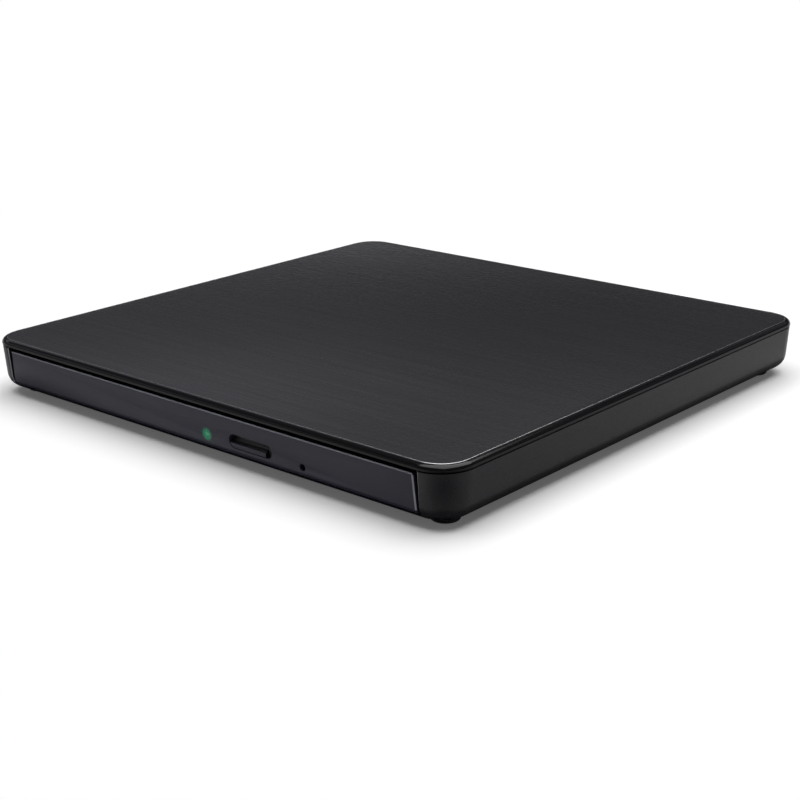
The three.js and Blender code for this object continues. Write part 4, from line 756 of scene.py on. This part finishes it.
# Painted reflection: what glossy rays see of the floor, each as (from, to, tone at from, tone at to), multiplied with
# each other
ROUND_DARK_SPOT, TO_THE_BACK = (0.006, 0.045, 0.1, 0.75), (-0.085, 0.1, 0.75, 1.25)
PAINTED_SHADOW_BESIDE_CASE = (0.0, 0.006, 0.2, 1.0)
RIGHT_PART, LEFT_PART = (0.045, 0.085, 1.0, 0.54), (-0.12, -0.02, 0.72, 1.0)
floor_mesh = bpy.data.meshes.new("floor")
floor_mesh.from_pydata([(x * FLOOR_HALF, y * FLOOR_HALF, 0) for x, y in ((-1, -1), (1, -1), (1, 1), (-1, 1))], [],
                       [(0, 1, 2, 3)])
floor = bpy.data.objects.new("floor", floor_mesh)
scene.collection.objects.link(floor)
floor_look = bpy.data.materials.new("floor")
floor_look.use_nodes = True
tree = floor_look.node_tree
tree.nodes.clear()


def add(kind, **settings):
    made = tree.nodes.new(kind)
    for key, value in settings.items():
        setattr(made, key, value)
    return made


def spread(value, from_low, from_high, low, high):
    """Goes smoothly from low to high while the value goes from from_low to from_high."""
    made = add("ShaderNodeMapRange", interpolation_type="SMOOTHSTEP")
    tree.links.new(value, made.inputs["Value"])
    for key, number in (("From Min", from_low), ("From Max", from_high), ("To Min", low), ("To Max", high)):
        made.inputs[key].default_value = number
    return made.outputs["Result"]


def of_two(operation, a, b):
    made = add("ShaderNodeMath", operation=operation)
    tree.links.new(a, made.inputs[0])
    tree.links.new(b, made.inputs[1])
    return made.outputs[0]


def product(a, b):
    return of_two("MULTIPLY", a, b)


def larger(a, b):
    return of_two("MAXIMUM", a, b)


def choose(factor, low, high):
    """low where the factor is 0, and high where it is 1."""
    made = add("ShaderNodeMix", data_type="FLOAT")
    for socket, value in zip(made.inputs, (factor, None, low, high)):
        if isinstance(value, float):
            socket.default_value = value
        elif value is not None:
            tree.links.new(value, socket)
    return made.outputs[0]


# The floor is white to the eye and through glass; what the glossy walls mirror of it is a painted reflection, which
# falls off to the front corner
place_on_floor = add("ShaderNodeTexCoord").outputs["Object"]
from_corner = add("ShaderNodeVectorMath", operation="DISTANCE")
tree.links.new(place_on_floor, from_corner.inputs[0])
from_corner.inputs[1].default_value = DARK_SPOT
axes = add("ShaderNodeSeparateXYZ")
tree.links.new(place_on_floor, axes.inputs[0])
painted_reflection_tone = product(spread(from_corner.outputs["Value"], *ROUND_DARK_SPOT), spread(axes.outputs["Y"], *TO_THE_BACK))
# Painted shadow: close to the case, the floor that glossy rays see is darkened
outside = []
for axis, half in (("X", HALF_WIDTH * MM), ("Y", HALF_DEPTH * MM)):
    size = add("ShaderNodeMath", operation="ABSOLUTE")
    tree.links.new(axes.outputs[axis], size.inputs[0])
    beyond = add("ShaderNodeMath", operation="SUBTRACT")
    tree.links.new(size.outputs[0], beyond.inputs[0])
    beyond.inputs[1].default_value = half
    outside.append(beyond.outputs[0])
painted_reflection_tone = product(painted_reflection_tone, spread(larger(*outside), *PAINTED_SHADOW_BESIDE_CASE))
painted_reflection_tone = product(painted_reflection_tone, spread(axes.outputs["X"], *RIGHT_PART))
painted_reflection_tone = product(painted_reflection_tone, spread(axes.outputs["X"], *LEFT_PART))
path = add("ShaderNodeLightPath")
seen_white = larger(path.outputs["Is Camera Ray"], path.outputs["Is Transmission Ray"])
tone = choose(path.outputs["Is Glossy Ray"], FLOOR_TONE, painted_reflection_tone)
tone = choose(seen_white, tone, WHITE)
diffuse = add("ShaderNodeBsdfDiffuse")
tree.links.new(tone, diffuse.inputs["Color"])
from_middle = add("ShaderNodeVectorMath", operation="LENGTH")
tree.links.new(place_on_floor, from_middle.inputs[0])
pale = product(seen_white, spread(from_middle.outputs["Value"], *FADE))
fade = add("ShaderNodeMixShader")
tree.links.new(pale, fade.inputs[0])
tree.links.new(diffuse.outputs["BSDF"], fade.inputs[1])
tree.links.new(add("ShaderNodeEmission").outputs[0], fade.inputs[2])
tree.links.new(fade.outputs[0], add("ShaderNodeOutputMaterial").inputs["Surface"])
floor_mesh.materials.append(floor_look)

# The room is dim, with a light strip at half height and a lighter ceiling, and white to the eye
ROOM_FLOOR, ROOM_CEILING = 0.05, 0.3
# (height of the direction, level) from below to above; the strip is the third
ROOM_LEVELS = ((0.2, 0.045), (0.37, 0.05), (0.45, 0.58), (0.54, 0.05), (0.75, 0.08))
ROOM_TINT = (1, 0.985, 1.08, 1)
# Changes with the direction, each as (from, to, factor at from, factor at to)
LEFT_TO_RIGHT, GLOW_HEIGHT, WHITE_BAND = (-0.72, -0.52, 1.3, 0.5), (0.06, 0.24, 0.7, 0.0), (0.0, 0.06, 1.0, 0.0)
world = bpy.data.worlds.new("studio")
scene.world = world
world.use_nodes = True
tree = world.node_tree
tree.nodes.clear()
direction = add("ShaderNodeTexCoord").outputs["Generated"]
axes = add("ShaderNodeSeparateXYZ")
tree.links.new(direction, axes.inputs[0])
height = add("ShaderNodeValToRGB")
tree.links.new(axes.outputs["Z"], height.inputs["Fac"])
height.color_ramp.elements[0].color = (ROOM_FLOOR, ROOM_FLOOR, ROOM_FLOOR, 1)
height.color_ramp.elements[1].color = (ROOM_CEILING, ROOM_CEILING, ROOM_CEILING, 1)
for position, level in ROOM_LEVELS:
    height.color_ramp.elements.new(position).color = (level, level, level, 1)
# A low glow from the left front and the right back, which fills the shadow and edges the rim
across = add("ShaderNodeVectorMath", operation="DOT_PRODUCT")
tree.links.new(direction, across.inputs[0])
across.inputs[1].default_value = (math.sqrt(0.5), math.sqrt(0.5), 0)
glow = product(product(across.outputs["Value"], across.outputs["Value"]), spread(axes.outputs["Z"], *GLOW_HEIGHT))
room = product(height.outputs["Color"], spread(axes.outputs["X"], *LEFT_TO_RIGHT))
mix = add("ShaderNodeMixShader")
path = add("ShaderNodeLightPath")
lit, seen = add("ShaderNodeBackground"), add("ShaderNodeBackground")
lit.inputs["Color"].default_value = ROOM_TINT
tree.links.new(of_two("ADD", room, glow), lit.inputs["Strength"])
seen.inputs["Color"].default_value = (1, 1, 1, 1)
# Glass shows the white background as the eye does, and glossy pieces show it in a band over the horizon
seen_white = larger(path.outputs["Is Camera Ray"], path.outputs["Is Transmission Ray"])
band = product(path.outputs["Is Glossy Ray"], spread(axes.outputs["Z"], *WHITE_BAND))
tree.links.new(larger(seen_white, band), mix.inputs[0])
tree.links.new(lit.outputs[0], mix.inputs[1])
tree.links.new(seen.outputs[0], mix.inputs[2])
tree.links.new(mix.outputs[0], add("ShaderNodeOutputWorld").inputs["Surface"])


def softbox(name, position, target, size, power):
    data = bpy.data.lights.new(name, "AREA")
    data.shape = "RECTANGLE"
    data.size, data.size_y = size
    data.energy = power
    lamp = bpy.data.objects.new(name, data)
    lamp.location = position
    lamp.rotation_euler = (Vector(target) - Vector(position)).to_track_quat("-Z", "Y").to_euler()
    scene.collection.objects.link(lamp)


softbox("overhead", position=(0.06, 0.24, 1.1), target=(0.06, 0.24, 0), size=(1.3, 1.7), power=19)

# The camera of the photo: focal length and image width in pixels, and its place and directions
FOCAL_PIXELS, IMAGE_PIXELS, SENSOR_MM = 1539.1, 800, 36
CAMERA_PLACE = (0.2401316, -0.2714479, 0.116542)
camera_data = bpy.data.cameras.new("camera")
camera_data.sensor_width = SENSOR_MM
camera_data.lens = FOCAL_PIXELS / IMAGE_PIXELS * SENSOR_MM
camera_data.clip_start, camera_data.clip_end = 0.01, 20
camera = bpy.data.objects.new("camera", camera_data)
scene.collection.objects.link(camera)
right = Vector((0.75173838, 0.65932854, -0.01323934))
down = Vector((0.20043343, -0.24755983, -0.9479138))
forward = Vector((-0.62826415, 0.70992958, -0.31825171))
turn = Matrix((right, -down, -forward)).transposed().to_4x4()
camera.matrix_world = Matrix.Translation(CAMERA_PLACE) @ turn
scene.camera = camera

bpy.context.view_layer.update()
